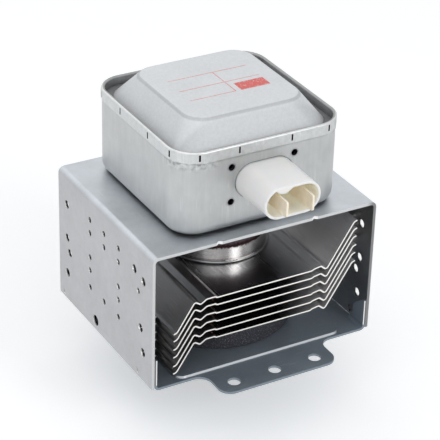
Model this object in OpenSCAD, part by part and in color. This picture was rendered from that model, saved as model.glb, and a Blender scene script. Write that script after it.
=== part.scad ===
// Microwave oven magnetron: a sealed tube between two ring magnets inside a folded steel yoke,
// with folded cooling fins, a filter box on top and the antenna below the base plate.
// The origin is on the antenna axis, on the underside of the base plate. The connector faces -Y.

/* [Yoke frame] */
// Width across the outsides of the two side walls
yoke_w = 95.6; // [90:0.1:104]
// Depth of the yoke from front to back
yoke_d = 79; // [76:0.5:90]
// Height of the top plate's upper face above the mounting face
yoke_top = 57.3; // [56:0.1:62]
// Sheet thickness of the yoke
yoke_t = 1.2; // [0.8:0.1:1.6]
// Outer bend radius between the top plate and a wall
yoke_bend_r = 2.5; // [2:0.1:4]
// Height of the walls' lower edges above the mounting face
wall_foot = 0.9; // [0.2:0.1:1.2]
// Width of the small nicks in the front and back edges of the top plate
nick_w = 2.4; // [1:0.1:4]
// Depth of those nicks
nick_d = 0.9; // [0.4:0.1:1.5]
// Distance of a nick from the middle of the edge
nick_x = 20.4; // [10:0.1:30]

/* [Wall holes] */
// Diameter of the vent holes in the three inner columns
vent_d = 2.5; // [1.5:0.1:3.5]
// Distance of the two outer vent columns from the middle of the wall
vent_column = 12; // [8:0.1:16]
// Step between two neighbouring vent holes
vent_step = 5.8; // [4.5:0.1:7]
// Height of the topmost vent holes
vent_top_z = 47.5; // [44:0.1:50]
// Height of the upper holes of the middle vent pair
vent_mid_z = 31; // [29:0.1:34]
// Height of the lowest vent holes
vent_low_z = 17.6; // [14:0.1:20]
// Diameter of the fixing holes near the front and back edges
edge_hole_d = 3.5; // [2:0.1:4]
// Distance of those fixing holes from the middle of the wall
edge_hole_y = 32.2; // [30:0.1:34]
// How far the second lowest of them is set in
edge_hole_inset = 2; // [0:0.1:5]
// Height of the uppermost fixing holes
edge_top_z = 44.1; // [42:0.1:46]
// Height of the single fixing hole near the back edge
edge_mid_z = 29.2; // [28:0.1:32]
// Height of the fixing holes that are set in
edge_inner_z = 23.1; // [20:0.1:25]
// Height of the lowest fixing holes
edge_low_z = 13.3; // [12:0.1:16]
// Distance of the extra hole near the front edge from the middle of the wall
extra_y = 25.1; // [22:0.1:26]
// Height of the extra hole
extra_z = 45.9; // [44:0.1:48]
// Distance of the small hole below it from the middle of the wall
small_y = 28.2; // [26:0.1:29]
// Height of the small hole
small_z = 38.1; // [37:0.1:40]
// Diameter of the large hole near the foot of a wall
foot_hole_d = 4.5; // [3:0.1:6]
// Distance of the large hole from the middle of the wall
foot_hole_y = 7.3; // [0:0.1:10]
// Height of the large hole
foot_hole_z = 5; // [4:0.1:7]
// Length of the triangular staking marks near the ears
stake_h = 3; // [2:0.1:4]
// Width of a staking mark
stake_w = 1.8; // [1:0.1:2.4]
// Depth of the staking marks outside and height of the front ones' lugs inside
stake_depth = 0.5; // [0.2:0.1:0.6]
// Height of a staking mark's lower edge
stake_z = 1.9; // [1.5:0.1:3]
// Distance of the front staking marks from the middle of the wall
stake_front_y = 28.4; // [26.8:0.1:28.6]
// Distance of the back staking marks from the middle of the wall
stake_back_y = 35.6; // [33:0.1:37]

/* [Base plate] */
// Sheet thickness of the base plate
base_t = 1; // [0.8:0.1:1.4]
// How far the middle of the base plate is raised
pan_rise = 0.8; // [0.4:0.1:1]
// Width of the raised pan at its foot
pan_w = 73; // [68:0.5:76]
// Depth of the raised pan at its foot
pan_d = 76.8; // [70:0.1:77]
// How far the sides of the pan lean in
pan_lean = 0.4; // [0.2:0.1:1.2]
// Corner radius of the raised pan
pan_r = 4; // [2:0.5:8]
// Width of a mounting tab
tab_w = 50.2; // [46:0.2:60]
// How far a mounting tab stands out from the yoke
tab_out = 15; // [13:0.1:18]
// Corner radius of a mounting tab
tab_r = 5; // [3:0.1:7]
// Radius of the fillets at the root of a tab
tab_root_r = 5; // [2:0.1:6]
// Diameter of the mounting holes
tab_hole_d = 5; // [4:0.1:6]
// Step between neighbouring mounting holes
tab_hole_step = 17.7; // [14:0.1:18]
// Distance of the mounting holes from the antenna axis
tab_hole_y = 48.6; // [46:0.1:49]
// Height of the corner ears above the mounting face
ear_h = 13.3; // [10:0.1:14]
// Depth of a corner ear
ear_d = 7.5; // [6:0.1:8.6]
// Height at which the sloping top of an ear ends
ear_back_h = 8.6; // [6:0.1:9.5]
// Width of the level top of an ear at its front
ear_flat_d = 1.4; // [0.5:0.1:3]
// Depth of the low strip at the foot of an ear
ear_foot_d = 9.6; // [9.1:0.1:9.8]
// Height of that strip
ear_foot_h = 3.2; // [2.6:0.1:4]
// Bend radius of an ear on the outside
ear_bend_r = 2; // [1.7:0.1:3]

/* [Cooling fins] */
// Sheet thickness of a fin
fin_t = 0.55; // [0.4:0.05:0.8]
// Step between neighbouring fins
fin_pitch = 3.6; // [3.2:0.05:3.7]
// Height of the lowest fin's middle plane
fin_low_z = 15.9; // [15.8:0.1:17]
// How far the front and back edges of the fins stay inside the yoke
fin_inset = 0.2; // [0:0.1:2]
// Bend radius of the folds at the middle of the sheet
fin_bend_r = 0.9; // [0.6:0.05:1]
// Bend radius of the folds to the contact tabs
fin_fold_r = 2; // [0.8:0.1:2.5]
// Half width of the flat middle
fin_flat = 21; // [20.5:0.1:23]
// Half width of the step from the flat middle to a land
fin_step_w = 0.4; // [0.3:0.05:0.5]
// Height of the stiffening lands beside the flat middle
fin_land_h = 0.5; // [0.3:0.05:0.8]
// Width of a land
fin_land_w = 4; // [3.4:0.1:4.2]
// Depth of the stiffening groove beside a land
fin_groove_h = 1.6; // [1:0.1:2.2]
// Half width of the groove
fin_groove_w = 2.5; // [2.2:0.1:2.8]
// How far the right land tips up and its groove is set in
fin_right_tip = 0.5; // [0.2:0.05:0.6]
// Drop of the left side of a fin
fin_drop = 11; // [9:0.1:11.2]
// Distance of the left contact tab's fold from the axis
fin_left_x = 37.5; // [37:0.1:40]
// Rise of the right side of a fin
fin_rise = 17; // [13:0.1:17.5]
// Distance of the right contact tab's fold from the axis
fin_right_x = 38.6; // [38:0.1:41]
// Depth of the corner notches that clear the ears
fin_notch_d = 14; // [13.5:0.1:16]
// Flat length that the notches leave beyond the folds
fin_stub = 1.2; // [1.1:0.1:2]
// Height of the collar that grips the anode
fin_collar_h = 1.3; // [1.1:0.1:2.6]
// Inside bend radius at the foot of the collar
fin_collar_r = 1; // [0.5:0.1:1.2]

/* [Magnets and anode] */
// Radius of the lower magnet
lower_magnet_r = 31; // [28:0.1:32]
// Height of the lower magnet
lower_magnet_h = 12.2; // [11:0.1:12.4]
// Radius of the upper magnet
upper_magnet_r = 26; // [24:0.1:28]
// Height of the upper magnet
upper_magnet_h = 9.8; // [8:0.1:11]
// Radius of the magnets' bores
magnet_bore_r = 10; // [9.8:0.1:11]
// Edge chamfer of the magnets
magnet_edge = 0.6; // [0.2:0.1:1]
// Outer radius of the copper anode
anode_r = 20; // [19.6:0.1:20.2]
// Wall of the anode
anode_wall = 2.4; // [2:0.1:3]
// Number of anode vanes
vane_count = 10; // [8:2:12]
// Thickness of a vane
vane_t = 1.8; // [1.2:0.1:2]
// Height of a vane
vane_h = 9.4; // [8:0.1:10]
// Radius of the circle that the vane tips leave open
vane_tip_r = 4.6; // [4.4:0.1:5]
// Radius of the smaller strap ring
strap_r = 6; // [5.8:0.1:6.2]
// Width of a strap ring
strap_w = 0.8; // [0.6:0.1:1]
// Thickness of a strap ring
strap_t = 0.8; // [0.4:0.1:1]
// Radial step from the smaller to the larger strap ring
strap_step = 1.7; // [1.4:0.1:1.8]
// Gap between a strap ring and the tip of the pole piece
pole_gap = 1.2; // [0.8:0.1:1.6]
// Radius of the flat tip of a pole piece
pole_tip_r = 7; // [6.4:0.1:7.4]
// Sheet thickness of a pole piece
pole_t = 1.8; // [1.4:0.1:2]
// Radius of the hole in the middle of a pole piece
pole_hole_r = 4.8; // [4.4:0.1:5]
// Width of the flat rim of a pole piece
pole_rim_w = 3.6; // [3:0.1:4]
// Sideways thickness of a pole piece's sloping wall
pole_slant = 1.4; // [1:0.1:1.8]
// Gap round the antenna rod in the lower pole piece
antenna_pass = 0.4; // [0.2:0.1:0.6]

/* [Seal cups and stem] */
// Sheet thickness of the seal cups
cup_t = 0.8; // [0.6:0.05:0.9]
// Outer radius of a seal cup's tube
cup_r = 9.2; // [9:0.05:9.4]
// How far the flange of a seal cup stays inside the anode's edge
cup_flange_inset = 0.5; // [0.2:0.1:1]
// Height of the upper seal cup above the yoke
upper_cup_h = 5.7; // [4:0.1:8]
// Height of the stem insulator
stem_h = 9; // [7:0.1:11]
// Distance of the stem terminals from the axis
stem_lead_x = 3.2; // [2.8:0.1:4]
// Radius of a stem terminal's post
stem_post_r = 1; // [0.8:0.1:1.2]
// Height of a stem terminal
stem_post_h = 5; // [4:0.1:6]
// Height of the choke leads above the stem insulator
lead_h = 3.5; // [2.6:0.1:3.8]
// Radius of a stem terminal's foot
stem_foot_r = 1.8; // [1.5:0.1:2.2]
// Thickness of a stem terminal's foot
stem_foot_t = 0.8; // [0.5:0.1:1]
// Radius of the cathode rods
rod_r = 0.7; // [0.5:0.05:0.75]
// Straight length of the cathode rods above the upper end hat
rod_straight = 2; // [1:0.1:3]

/* [Filament] */
// Mean radius of the filament coil
filament_r = 1.9; // [1.7:0.05:2.2]
// Radius of the filament wire
filament_wire_r = 0.25; // [0.2:0.01:0.3]
// Number of filament turns
filament_turns = 9; // [6:1:11]
// Radius of an end hat
hat_r = 3.4; // [3:0.1:3.6]
// Thickness of an end hat
hat_t = 0.8; // [0.6:0.1:1]
// How far the inner face of an end hat lies outside the vanes
hat_over = 0.3; // [0.1:0.1:0.6]

/* [Antenna] */
// Radius of the antenna rod
antenna_rod_r = 1; // [0.8:0.05:1.1]
// Distance of the antenna rod's vane end from the axis
antenna_tap_r = 9.6; // [9.4:0.1:9.8]
// Height of the antenna rod's upper bend above the anode's lower end
antenna_knee_h = 4.3; // [4:0.1:4.6]
// How far below the anode's lower end the antenna rod meets the axis
antenna_low_h = 4.2; // [3:0.1:5]
// How far the lower seal cup reaches below the mounting face
lower_cup_drop = 4; // [3.4:0.1:6]
// Height of the antenna insulator
antenna_ceramic_h = 8; // [6:0.1:10]
// Outer radius of the antenna insulator
antenna_ceramic_r = 8.8; // [8.6:0.05:9]
// Inner radius of the antenna insulator
antenna_ceramic_bore_r = 6.6; // [6.2:0.1:6.8]
// Radius of the antenna cap
antenna_cap_r = 7.8; // [7.6:0.05:8.2]
// Wall of the antenna cap
antenna_cap_t = 0.6; // [0.4:0.05:0.7]
// Height of the antenna cap
antenna_cap_h = 15; // [13:0.1:18]
// Radius of the rounded edge at the end of the cap
antenna_cap_edge_r = 2.5; // [1:0.1:4]
// Radius of the pumping tube
exhaust_r = 2.6; // [2.2:0.1:3]
// Length of the pumping tube
exhaust_h = 10; // [8:0.1:11]
// Wall of the pumping tube
exhaust_wall = 0.5; // [0.4:0.05:0.7]
// Length of the tube's pinched end
exhaust_pinch = 2; // [1:0.1:2.4]
// Inner radius of the mesh gasket ring
gasket_bore_r = 11; // [10.6:0.1:12]
// Outer radius of the mesh gasket ring
gasket_r = 16.5; // [15:0.1:19]
// Height of the mesh gasket ring
gasket_h = 4; // [3:0.1:6]
// Edge chamfer of the mesh gasket ring
gasket_edge = 1.2; // [0.4:0.1:1.6]

/* [Filter box] */
// Width of the filter box below its rim
box_w = 70; // [66:0.5:76]
// Depth of the filter box below its rim
box_d = 71; // [68:0.5:76]
// Height of the filter box
box_h = 35.3; // [33:0.1:40]
// Sheet thickness of the filter box
box_t = 0.6; // [0.4:0.05:0.8]
// Corner radius of the filter box
box_r = 11; // [9:0.1:14]
// Radius of the drawn bottom edge
box_bottom_r = 4.5; // [3:0.1:6]
// Offset of the box from the antenna axis to the right
box_x = 0.7; // [-1:0.1:1]
// Offset of the box from the antenna axis to the back
box_y = 1.3; // [-1:0.1:1.5]
// Height of the crimped rim band
rim_h = 4.7; // [4.2:0.1:5.5]
// How far the rim band stands proud of the wall
rim_out = 0.4; // [0.2:0.05:0.5]
// Gap between the rim band and its leg that is folded inside onto the lid
hem_gap = 0.4; // [0.2:0.1:0.8]
// Width of the crimp slits in the rim
slit_w = 0.7; // [0.4:0.1:1.2]
// Height of the crimp slits
slit_h = 2.6; // [1:0.1:2.6]
// Height of a slit's lower end above the foot of the rim
slit_z = 1.2; // [0.8:0.1:1.4]
// Distance of the inner crimp slits from the middle of a side
slit_inner = 11; // [8:0.5:14]
// Distance of the outer crimp slits from the middle of a side
slit_outer = 27; // [24:0.5:28]
// Distance of the four box rivets from the antenna axis, along X and along Y
rivet_xy = 21.5; // [21:0.1:23]
// Radius of a rivet's shank
rivet_r = 1.4; // [1:0.1:1.6]
// Radius of a rivet's heads
rivet_head_r = 2.4; // [2.1:0.1:2.8]
// Thickness of a rivet's heads
rivet_head_t = 0.8; // [0.5:0.1:1]

/* [Lid] */
// Width of the flat top of the lid
lid_flat_w = 46; // [40:0.5:50]
// Corner radius of the flat top
lid_flat_r = 7; // [5:0.1:9]
// Width of the lid's flat border between the box wall and the foot of its sloping sides
lid_border = 3; // [2.5:0.1:5]
// Corner radius at the foot of the sloping sides
lid_foot_r = 10; // [8:0.1:12]
// Height of the flat top above the rim
lid_rise = 7; // [5:0.1:10]
// Radius of the edge round the flat top
lid_edge_r = 1.8; // [1:0.1:2.5]
// Sheet thickness of the lid
lid_t = 0.6; // [0.4:0.05:0.8]

/* [Connector] */
// Width of the connector shell at the box
shell_w = 24; // [23:0.1:26]
// Height of the connector shell at the box
shell_h = 13.8; // [13.2:0.1:15]
// Width of the shell at its mouth
mouth_w = 23.5; // [22.4:0.1:24]
// Height of the shell at its mouth
mouth_h = 12.8; // [12.4:0.1:13.6]
// Length of the shell in front of the box
shell_len = 20.2; // [18:0.1:24]
// Wall of the shell at its mouth
shell_wall = 1.1; // [0.9:0.05:1.4]
// Depth of the socket in the shell
socket_depth = 12.8; // [11:0.1:14]
// Height of the connector's middle above the top plate
shell_z = 19.4; // [18:0.1:20]
// Width of the shell's neck through the box wall
neck_w = 21.6; // [20:0.1:22]
// Height of the shell's neck
neck_h = 11.6; // [10.5:0.1:12.5]

/* [Terminals and filter] */
// Distance of the terminal tabs from the middle of the connector
blade_x = 5.4; // [5.1:0.05:5.5]
// Thickness of a terminal tab
blade_t = 0.8; // [0.6:0.05:0.9]
// Height of a terminal tab
blade_h = 6.35; // [5:0.05:6.4]
// Length of a terminal tab
blade_len = 17.8; // [8:0.1:19]
// Corner chamfer at the tip of a terminal tab
blade_edge = 0.5; // [0.2:0.1:1.5]
// Radius of the rod behind a terminal tab
stud_r = 1.1; // [0.8:0.05:1.3]
// How far the rods stand out of the capacitor
stud_out = 1.6; // [1:0.1:2.5]
// Thickness of the capacitor's mounting flange
flange_t = 1; // [0.8:0.05:1.2]
// Width of the mounting flange
flange_w = 33; // [31:0.1:36]
// Height of the mounting flange
flange_h = 20.4; // [19:0.1:21]
// Half distance of the flange's bosses across
boss_x = 13.2; // [12.8:0.1:14]
// Offset of the bosses from the middle of the connector to the right
boss_shift = -0.7; // [-1:0.1:1]
// Half distance of the flange's bosses up and down
boss_z = 7.1; // [6.8:0.1:7.4]
// Outer radius of a boss
boss_r = 1.75; // [1.6:0.05:1.8]
// Radius of the hole through a boss
boss_hole_r = 1.35; // [0.8:0.05:1.4]
// Width of the capacitor body
cap_w = 24.5; // [24:0.1:27]
// Height of the capacitor body
cap_h = 14; // [13:0.1:16]
// Length of the capacitor body
cap_len = 13; // [11:0.1:14]
// Distance of the choke coils from the middle of the box
choke_x = 16; // [15.6:0.1:19]
// Mean radius of a choke coil
choke_r = 3.9; // [3.7:0.05:4.1]
// Radius of the choke wire
choke_wire_r = 0.8; // [0.6:0.05:0.85]
// Number of turns of a choke coil
choke_turns = 7; // [5:1:8]
// Step of the choke's turns
choke_pitch = 3.2; // [2.4:0.1:3.4]
// Radius of the ferrite rod in a choke coil
core_r = 2.6; // [2.2:0.05:2.7]
// How far the choke coils lie below the middle of the connector
choke_drop = 2.7; // [2:0.1:4]
// Distance from the capacitor's rods to the first turn
choke_gap = 6.5; // [5.5:0.1:7.5]
// Straight length of a choke lead at its ends
lead_straight = 2; // [1.6:0.1:2.4]

/* [Fits] */
// Gap between pieces that are pressed, brazed or staked together
fit_gap = 0.05; // [0.02:0.01:0.1]
// Gap round the tube's necks in the yoke, the filter box and the base plate
neck_gap = 1.2; // [0.4:0.1:1.6]

/* [Hidden] */
$fn = 64;
// Overshoot of a cutting tool past the face that it opens
cut = 1;
// Thickness of the slices that a hull joins, and the facets of the hulls' arcs
slice = 0.1;
can_slice = 1;
hull_fn = 48;
edge_fn = 32;

// Inner faces of the yoke
wall_x = yoke_w / 2 - yoke_t;
roof_z = yoke_top - yoke_t;
// Heights of the stack between the base plate and the roof of the yoke
pan_top = base_t + pan_rise;
lower_magnet_top = pan_top + lower_magnet_h;
upper_magnet_low = roof_z - upper_magnet_h;
anode_low = lower_magnet_top + cup_t;
anode_high = upper_magnet_low - cup_t;
anode_mid = (anode_low + anode_high) / 2;
anode_bore_r = anode_r - anode_wall;
cup_flange_r = anode_r - cup_flange_inset;
cup_bore_r = cup_r - cup_t;
// Holes round the tube's two necks
neck_hole_r = cup_r + neck_gap;
// Reach of the vanes, the straps and the pole tips from the middle of the anode
vane_half = vane_h / 2;
pole_reach = vane_half + strap_t + pole_gap;
hat_reach = vane_half + hat_over;
// Stem above the yoke
stem_low = yoke_top + upper_cup_h;
stem_high = stem_low + stem_h;
lead_z = stem_high + lead_h;
// Antenna below the base plate
cup_end = -lower_cup_drop;
ceramic_end = cup_end - antenna_ceramic_h;
// Filter box and connector
rim_low = yoke_top + box_h - rim_h;
rim_top = yoke_top + box_h;
lid_seat = rim_low + box_t;
lid_top = rim_top + lid_rise;
lid_foot_w = box_w - 2 * lid_border;
lid_foot_d = box_d - 2 * lid_border;
hem_w = 2 * box_t + hem_gap;
boss_xs = [boss_shift - boss_x, boss_shift + boss_x];
box_front = box_y - box_d / 2;
wall_in = box_front + box_t;
flange_in = wall_in + flange_t;
cap_in = flange_in + cap_len;
shell_mid = yoke_top + shell_z;
mouth_y = box_front - shell_len;
socket_end = mouth_y + socket_depth;
stud_in = cap_in + stud_out;
// Choke coils
choke_z = shell_mid - choke_drop;
choke_start = stud_in + choke_gap;
choke_end = choke_start + choke_turns * choke_pitch;

// Unit vector along v
function unit(v) = v / norm(v);
// Direction of a plane vector in degrees
function heading(v) = atan2(v[1], v[0]);
// Angle in the range -180 to 180
function turn(a) = a - 360 * floor((a + 180) / 360);

// Arc of radius r that replaces the corner b of the line a, b, c, in n steps
function bend_arc(a, b, c, r, n) =
    let (u = unit(a - b), v = unit(c - b),
         half = acos(max(-1, min(1, u * v))) / 2,
         middle = b + unit(u + v) * r / sin(half),
         from = heading(b + u * r / tan(half) - middle),
         sweep = turn(heading(b + v * r / tan(half) - middle) - from))
    [for (k = [0:n]) middle + r * [cos(from + sweep * k / n), sin(from + sweep * k / n)]];

// The line p with every corner rounded to the radius in the list r
function bent_line(p, r, n = 4) =
    [for (i = [0:len(p) - 1])
        each (i == 0 || i == len(p) - 1 ? [p[i]] : bend_arc(p[i - 1], p[i], p[i + 1], r[i], n))];

// Offset of the point i of the line p to its left by s
function beside(p, i, s) =
    let (e = unit(p[max(i, 1)] - p[max(i, 1) - 1]),
         f = unit(p[min(i + 1, len(p) - 1)] - p[min(i, len(p) - 2)]),
         m = unit(e + f))
    p[i] + [-m[1], m[0]] * s / (m * e);

// Outline of a sheet of thickness t along the line p
function sheet(p, t) = concat(
    [for (i = [0:len(p) - 1]) beside(p, i, t / 2)],
    [for (i = [len(p) - 1:-1:0]) beside(p, i, -t / 2)]);

// Tangents of a route in space
function tangents(p) =
    [for (i = [0:len(p) - 1]) unit(p[min(i + 1, len(p) - 1)] - p[max(i - 1, 0)])];
// Part of v that is square to the unit vector t
function square_to(v, t) = unit(v - (v * t) * t);
// Side vectors that are carried along a route without twisting
function carried(t, first) =
    [for (i = 0, n = square_to(first, t[0]);
          i < len(t);
          i = i + 1, n = i < len(t) ? square_to(n, t[i]) : n) n];

// Round wire of radius r along the route p
module wire(p, r, sides, first = [0, 0, 1]) {
    t = tangents(p);
    n = carried(t, first);
    last = len(p) - 1;
    points = [for (i = [0:last], k = [0:sides - 1])
        p[i] + r * (cos(360 * k / sides) * n[i] + sin(360 * k / sides) * cross(t[i], n[i]))];
    sleeve = [for (i = [0:last - 1], k = [0:sides - 1])
        let (a = i * sides + k, b = i * sides + (k + 1) % sides)
        [a + sides, b + sides, b, a]];
    ends = [[for (k = [0:sides - 1]) k], [for (k = [sides - 1:-1:0]) last * sides + k]];
    polyhedron(points, concat(sleeve, ends));
}

// Rectangle with rounded corners, centred
module rounded_plan(w, d, r) {
    square([w - 2 * r, d], center = true);
    square([w, d - 2 * r], center = true);
    for (x = [-1, 1], y = [-1, 1])
        translate([x * (w / 2 - r), y * (d / 2 - r)]) circle(r);
}

// Rectangle with two round ends, centred, longer along X
module obround(w, h) {
    square([w - h, h], center = true);
    for (x = [-1, 1]) translate([x * (w - h) / 2, 0]) circle(h / 2);
}

// Rectangle standing on the X axis with rounded upper corners
module arch_plan(w, h, r) {
    translate([-w / 2, 0]) square([w, h - r]);
    translate([-w / 2 + r, 0]) square([w - 2 * r, h]);
    for (x = [-1, 1]) translate([x * (w / 2 - r), h - r]) circle(r);
}

// Puts a plan drawn in X and Z upright and extrudes it from y0 to y1
module upright(y0, y1) {
    translate([0, y1, 0]) rotate([90, 0, 0]) linear_extrude(y1 - y0) children();
}

// Round hole or shaft along X, Y or Z
module across(x0, x1, y, z, r) {
    translate([x0, y, z]) rotate([0, 90, 0]) cylinder(h = x1 - x0, r = r);
}
module along(x, y0, y1, z, r) {
    translate([x, y1, z]) rotate([90, 0, 0]) cylinder(h = y1 - y0, r = r);
}
module shaft(z0, z1, r) {
    translate([0, 0, z0]) cylinder(h = z1 - z0, r = r);
}

// Ring between two radii and two heights
module ring(r0, r1, z0, z1) {
    rotate_extrude() translate([r0, z0]) square([r1 - r0, z1 - z0]);
}

// Places the children over each of the four box rivets
module at_rivets() {
    for (x = [-1, 1], y = [-1, 1]) translate([x * rivet_xy, y * rivet_xy, 0]) children();
}

// Vent and fixing holes of the left wall, as [distance from the middle, height, diameter]
vent_rows = [vent_top_z, vent_top_z - vent_step, vent_mid_z, vent_mid_z - vent_step, vent_low_z];
mid_rows = [vent_top_z, vent_top_z - vent_step, vent_low_z];
edge_inner_y = edge_hole_y - edge_hole_inset;
wall_holes = concat(
    [for (y = [-1, 1], z = vent_rows) [y * vent_column, z, vent_d]],
    [for (z = mid_rows) [0, z, vent_d]],
    [for (y = [-1, 1], z = [edge_top_z, edge_low_z]) [y * edge_hole_y, z, edge_hole_d]],
    [for (y = [-1, 1]) [y * edge_inner_y, edge_inner_z, edge_hole_d]],
    [[edge_hole_y, edge_mid_z, edge_hole_d], [-extra_y, extra_z, edge_hole_d], [-small_y, small_z, vent_d]],
    [[foot_hole_y, foot_hole_z, foot_hole_d]]);

// Triangular staking mark of the left wall, from the depth x to the right
module stake(x, y, depth) {
    translate([x, y, stake_z])
        rotate([90, 0, 90])
            linear_extrude(depth)
                polygon([[-stake_w / 2, 0], [stake_w / 2, 0], [stake_w / 2, stake_h]]);
}

module wall_cuts() {
    for (h = wall_holes) across(-yoke_w / 2 - cut, -wall_x + cut, h[0], h[1], h[2] / 2);
}

module yoke_frame() {
    color("#c3c5c7")
    difference() {
        union() {
            translate([0, 0, wall_foot])
                upright(-yoke_d / 2, yoke_d / 2) difference() {
                    arch_plan(yoke_w, yoke_top - wall_foot, yoke_bend_r);
                    translate([0, -cut])
                        arch_plan(2 * wall_x, roof_z - wall_foot + cut, yoke_bend_r - yoke_t);
                }
            for (side = [0, 1]) mirror([side, 0, 0])
                stake(-wall_x - stake_depth, -stake_front_y, 2 * stake_depth);
        }
        for (side = [0, 1], y = [-stake_front_y, stake_back_y]) mirror([side, 0, 0])
            stake(-yoke_w / 2 - cut, y, stake_depth + cut);
        for (side = [0, 180]) rotate(side) {
            wall_cuts();
            for (x = [-1, 1])
                translate([x * nick_x, -yoke_d / 2, roof_z - cut])
                    linear_extrude(yoke_t + 2 * cut)
                        polygon([[-nick_w / 2, 0], [-nick_w / 2, -cut], [nick_w / 2, -cut],
                                 [nick_w / 2, 0], [0, nick_d]]);
        }
        shaft(roof_z - cut, yoke_top + cut, neck_hole_r);
        at_rivets() shaft(roof_z - cut, yoke_top + cut, rivet_r + fit_gap);
    }
}

// Mounting tab on the front edge, with its root fillets
module tab_plan() {
    root = yoke_d / 2;
    difference() {
        translate([-tab_w / 2 - tab_root_r, -root - tab_root_r])
            square([tab_w + 2 * tab_root_r, 2 * tab_root_r]);
        for (x = [-1, 1])
            translate([x * (tab_w / 2 + tab_root_r), -root - tab_root_r]) circle(tab_root_r);
    }
    translate([0, -root - tab_out / 2 + tab_root_r])
        rounded_plan(tab_w, tab_out + 2 * tab_root_r, tab_r);
}

// One corner ear with its strip of the base plate, at the left front
module ear() {
    ear_x = wall_x - fit_gap;
    front = -yoke_d / 2;
    line = [[-pan_w / 2, base_t / 2], [-ear_x + base_t / 2, base_t / 2], [-ear_x + base_t / 2, ear_h]];
    bends = [for (q = line) ear_bend_r - base_t / 2];
    difference() {
        upright(front, front + ear_foot_d)
            polygon(sheet(bent_line(line, bends), base_t));
        translate([-wall_x - cut, front, 0])
            rotate([90, 0, 90]) linear_extrude(base_t + 2 * cut)
                polygon([[ear_flat_d, ear_h], [ear_d, ear_back_h], [ear_d, ear_foot_h],
                         [ear_foot_d + cut, ear_foot_h], [ear_foot_d + cut, ear_h + cut],
                         [ear_flat_d, ear_h + cut]]);
    }
}

// Raised pan with leaning sides, solid, from height z0 to z1
module pan_form(w, d, r, z0, z1) {
    lean = 2 * pan_lean;
    hull() {
        translate([0, 0, z0]) linear_extrude(slice) rounded_plan(w, d, r, $fn = hull_fn);
        translate([0, 0, z1 - slice])
            linear_extrude(slice) rounded_plan(w - lean, d - lean, r - pan_lean, $fn = hull_fn);
    }
}

module base_plate() {
    plate_x = wall_x - fit_gap - ear_bend_r;
    color("#4b525a")
    difference() {
        union() {
            linear_extrude(base_t) {
                square([2 * plate_x, yoke_d], center = true);
                for (side = [0, 180]) rotate(side) tab_plan();
            }
            pan_form(pan_w, pan_d, pan_r, base_t - slice, pan_top);
            for (side = [0, 180]) rotate(side) {
                ear();
                mirror([1, 0, 0]) ear();
            }
        }
        pan_form(pan_w - 2 * base_t, pan_d - 2 * base_t, pan_r - base_t / 2, -cut, pan_rise);
        shaft(-cut, pan_top + cut, neck_hole_r);
        for (x = [-1, 0, 1], y = [-1, 1])
            translate([x * tab_hole_step, y * tab_hole_y, 0]) shaft(-cut, base_t + cut, tab_hole_d / 2);
    }
}

module rf_gasket() {
    e = gasket_edge;
    color("#a8a59c")
    translate([0, 0, pan_rise - gasket_h])
        rotate_extrude()
            polygon([[gasket_bore_r, gasket_h], [gasket_bore_r, e], [gasket_bore_r + e, 0],
                     [gasket_r - e, 0], [gasket_r, e], [gasket_r, gasket_h]]);
}

// Ring magnet with chamfered edges
module magnet(r, z0, h) {
    e = magnet_edge;
    rotate_extrude() translate([0, z0])
        polygon([[magnet_bore_r, 0], [r - e, 0], [r, e], [r, h - e], [r - e, h], [magnet_bore_r, h]]);
}

module lower_magnet() {
    color("#3a3638") magnet(lower_magnet_r, pan_top, lower_magnet_h);
}

module upper_magnet() {
    color("#3a3638") magnet(upper_magnet_r, upper_magnet_low, upper_magnet_h);
}

module anode_cylinder() {
    color("#b87756") ring(anode_bore_r, anode_r, anode_low, anode_high);
}

module anode_vanes() {
    color("#c08060")
    intersection() {
        ring(vane_tip_r, anode_bore_r - fit_gap, anode_mid - vane_half, anode_mid + vane_half);
        for (k = [0:vane_count - 1])
            rotate(360 * k / vane_count)
                translate([0, -vane_t / 2, anode_mid - vane_half - cut])
                    cube([anode_r, vane_t, vane_h + 2 * cut]);
    }
}

module strap_rings() {
    color("#c98f6d")
    for (r = [strap_r, strap_r + strap_step], z = [anode_mid - vane_half - strap_t, anode_mid + vane_half])
        ring(r - strap_w / 2, r + strap_w / 2, z, z + strap_t);
}

// Funnel-shaped pole piece with its rim at height 0 and its tip at height h
module pole_piece(h) {
    rim_r = anode_bore_r - fit_gap;
    foot_r = rim_r - pole_rim_w;
    rotate_extrude()
        polygon([[rim_r, 0], [rim_r, pole_t], [foot_r, pole_t], [pole_tip_r, h], [pole_hole_r, h],
                 [pole_hole_r, h - pole_t], [pole_tip_r - pole_slant / 2, h - pole_t],
                 [foot_r - pole_slant, 0]]);
}

module lower_pole_piece() {
    color("#8f9193")
    difference() {
        translate([0, 0, anode_low]) pole_piece(anode_mid - pole_reach - anode_low);
        translate([antenna_tap_r, 0, 0]) shaft(anode_low - cut, anode_mid, antenna_rod_r + antenna_pass);
    }
}

module upper_pole_piece() {
    color("#8f9193")
    translate([0, 0, anode_high]) mirror([0, 0, 1]) pole_piece(anode_high - anode_mid - pole_reach);
}

module lower_seal_cup() {
    color("#b9b9b4")
    rotate_extrude()
        polygon([[cup_bore_r, cup_end], [cup_r, cup_end], [cup_r, lower_magnet_top],
                 [cup_flange_r, lower_magnet_top], [cup_flange_r, anode_low], [cup_bore_r, anode_low]]);
}

module upper_seal_cup() {
    color("#b9b9b4")
    rotate_extrude()
        polygon([[cup_bore_r, stem_low], [cup_r, stem_low], [cup_r, upper_magnet_low],
                 [cup_flange_r, upper_magnet_low], [cup_flange_r, anode_high], [cup_bore_r, anode_high]]);
}

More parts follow.
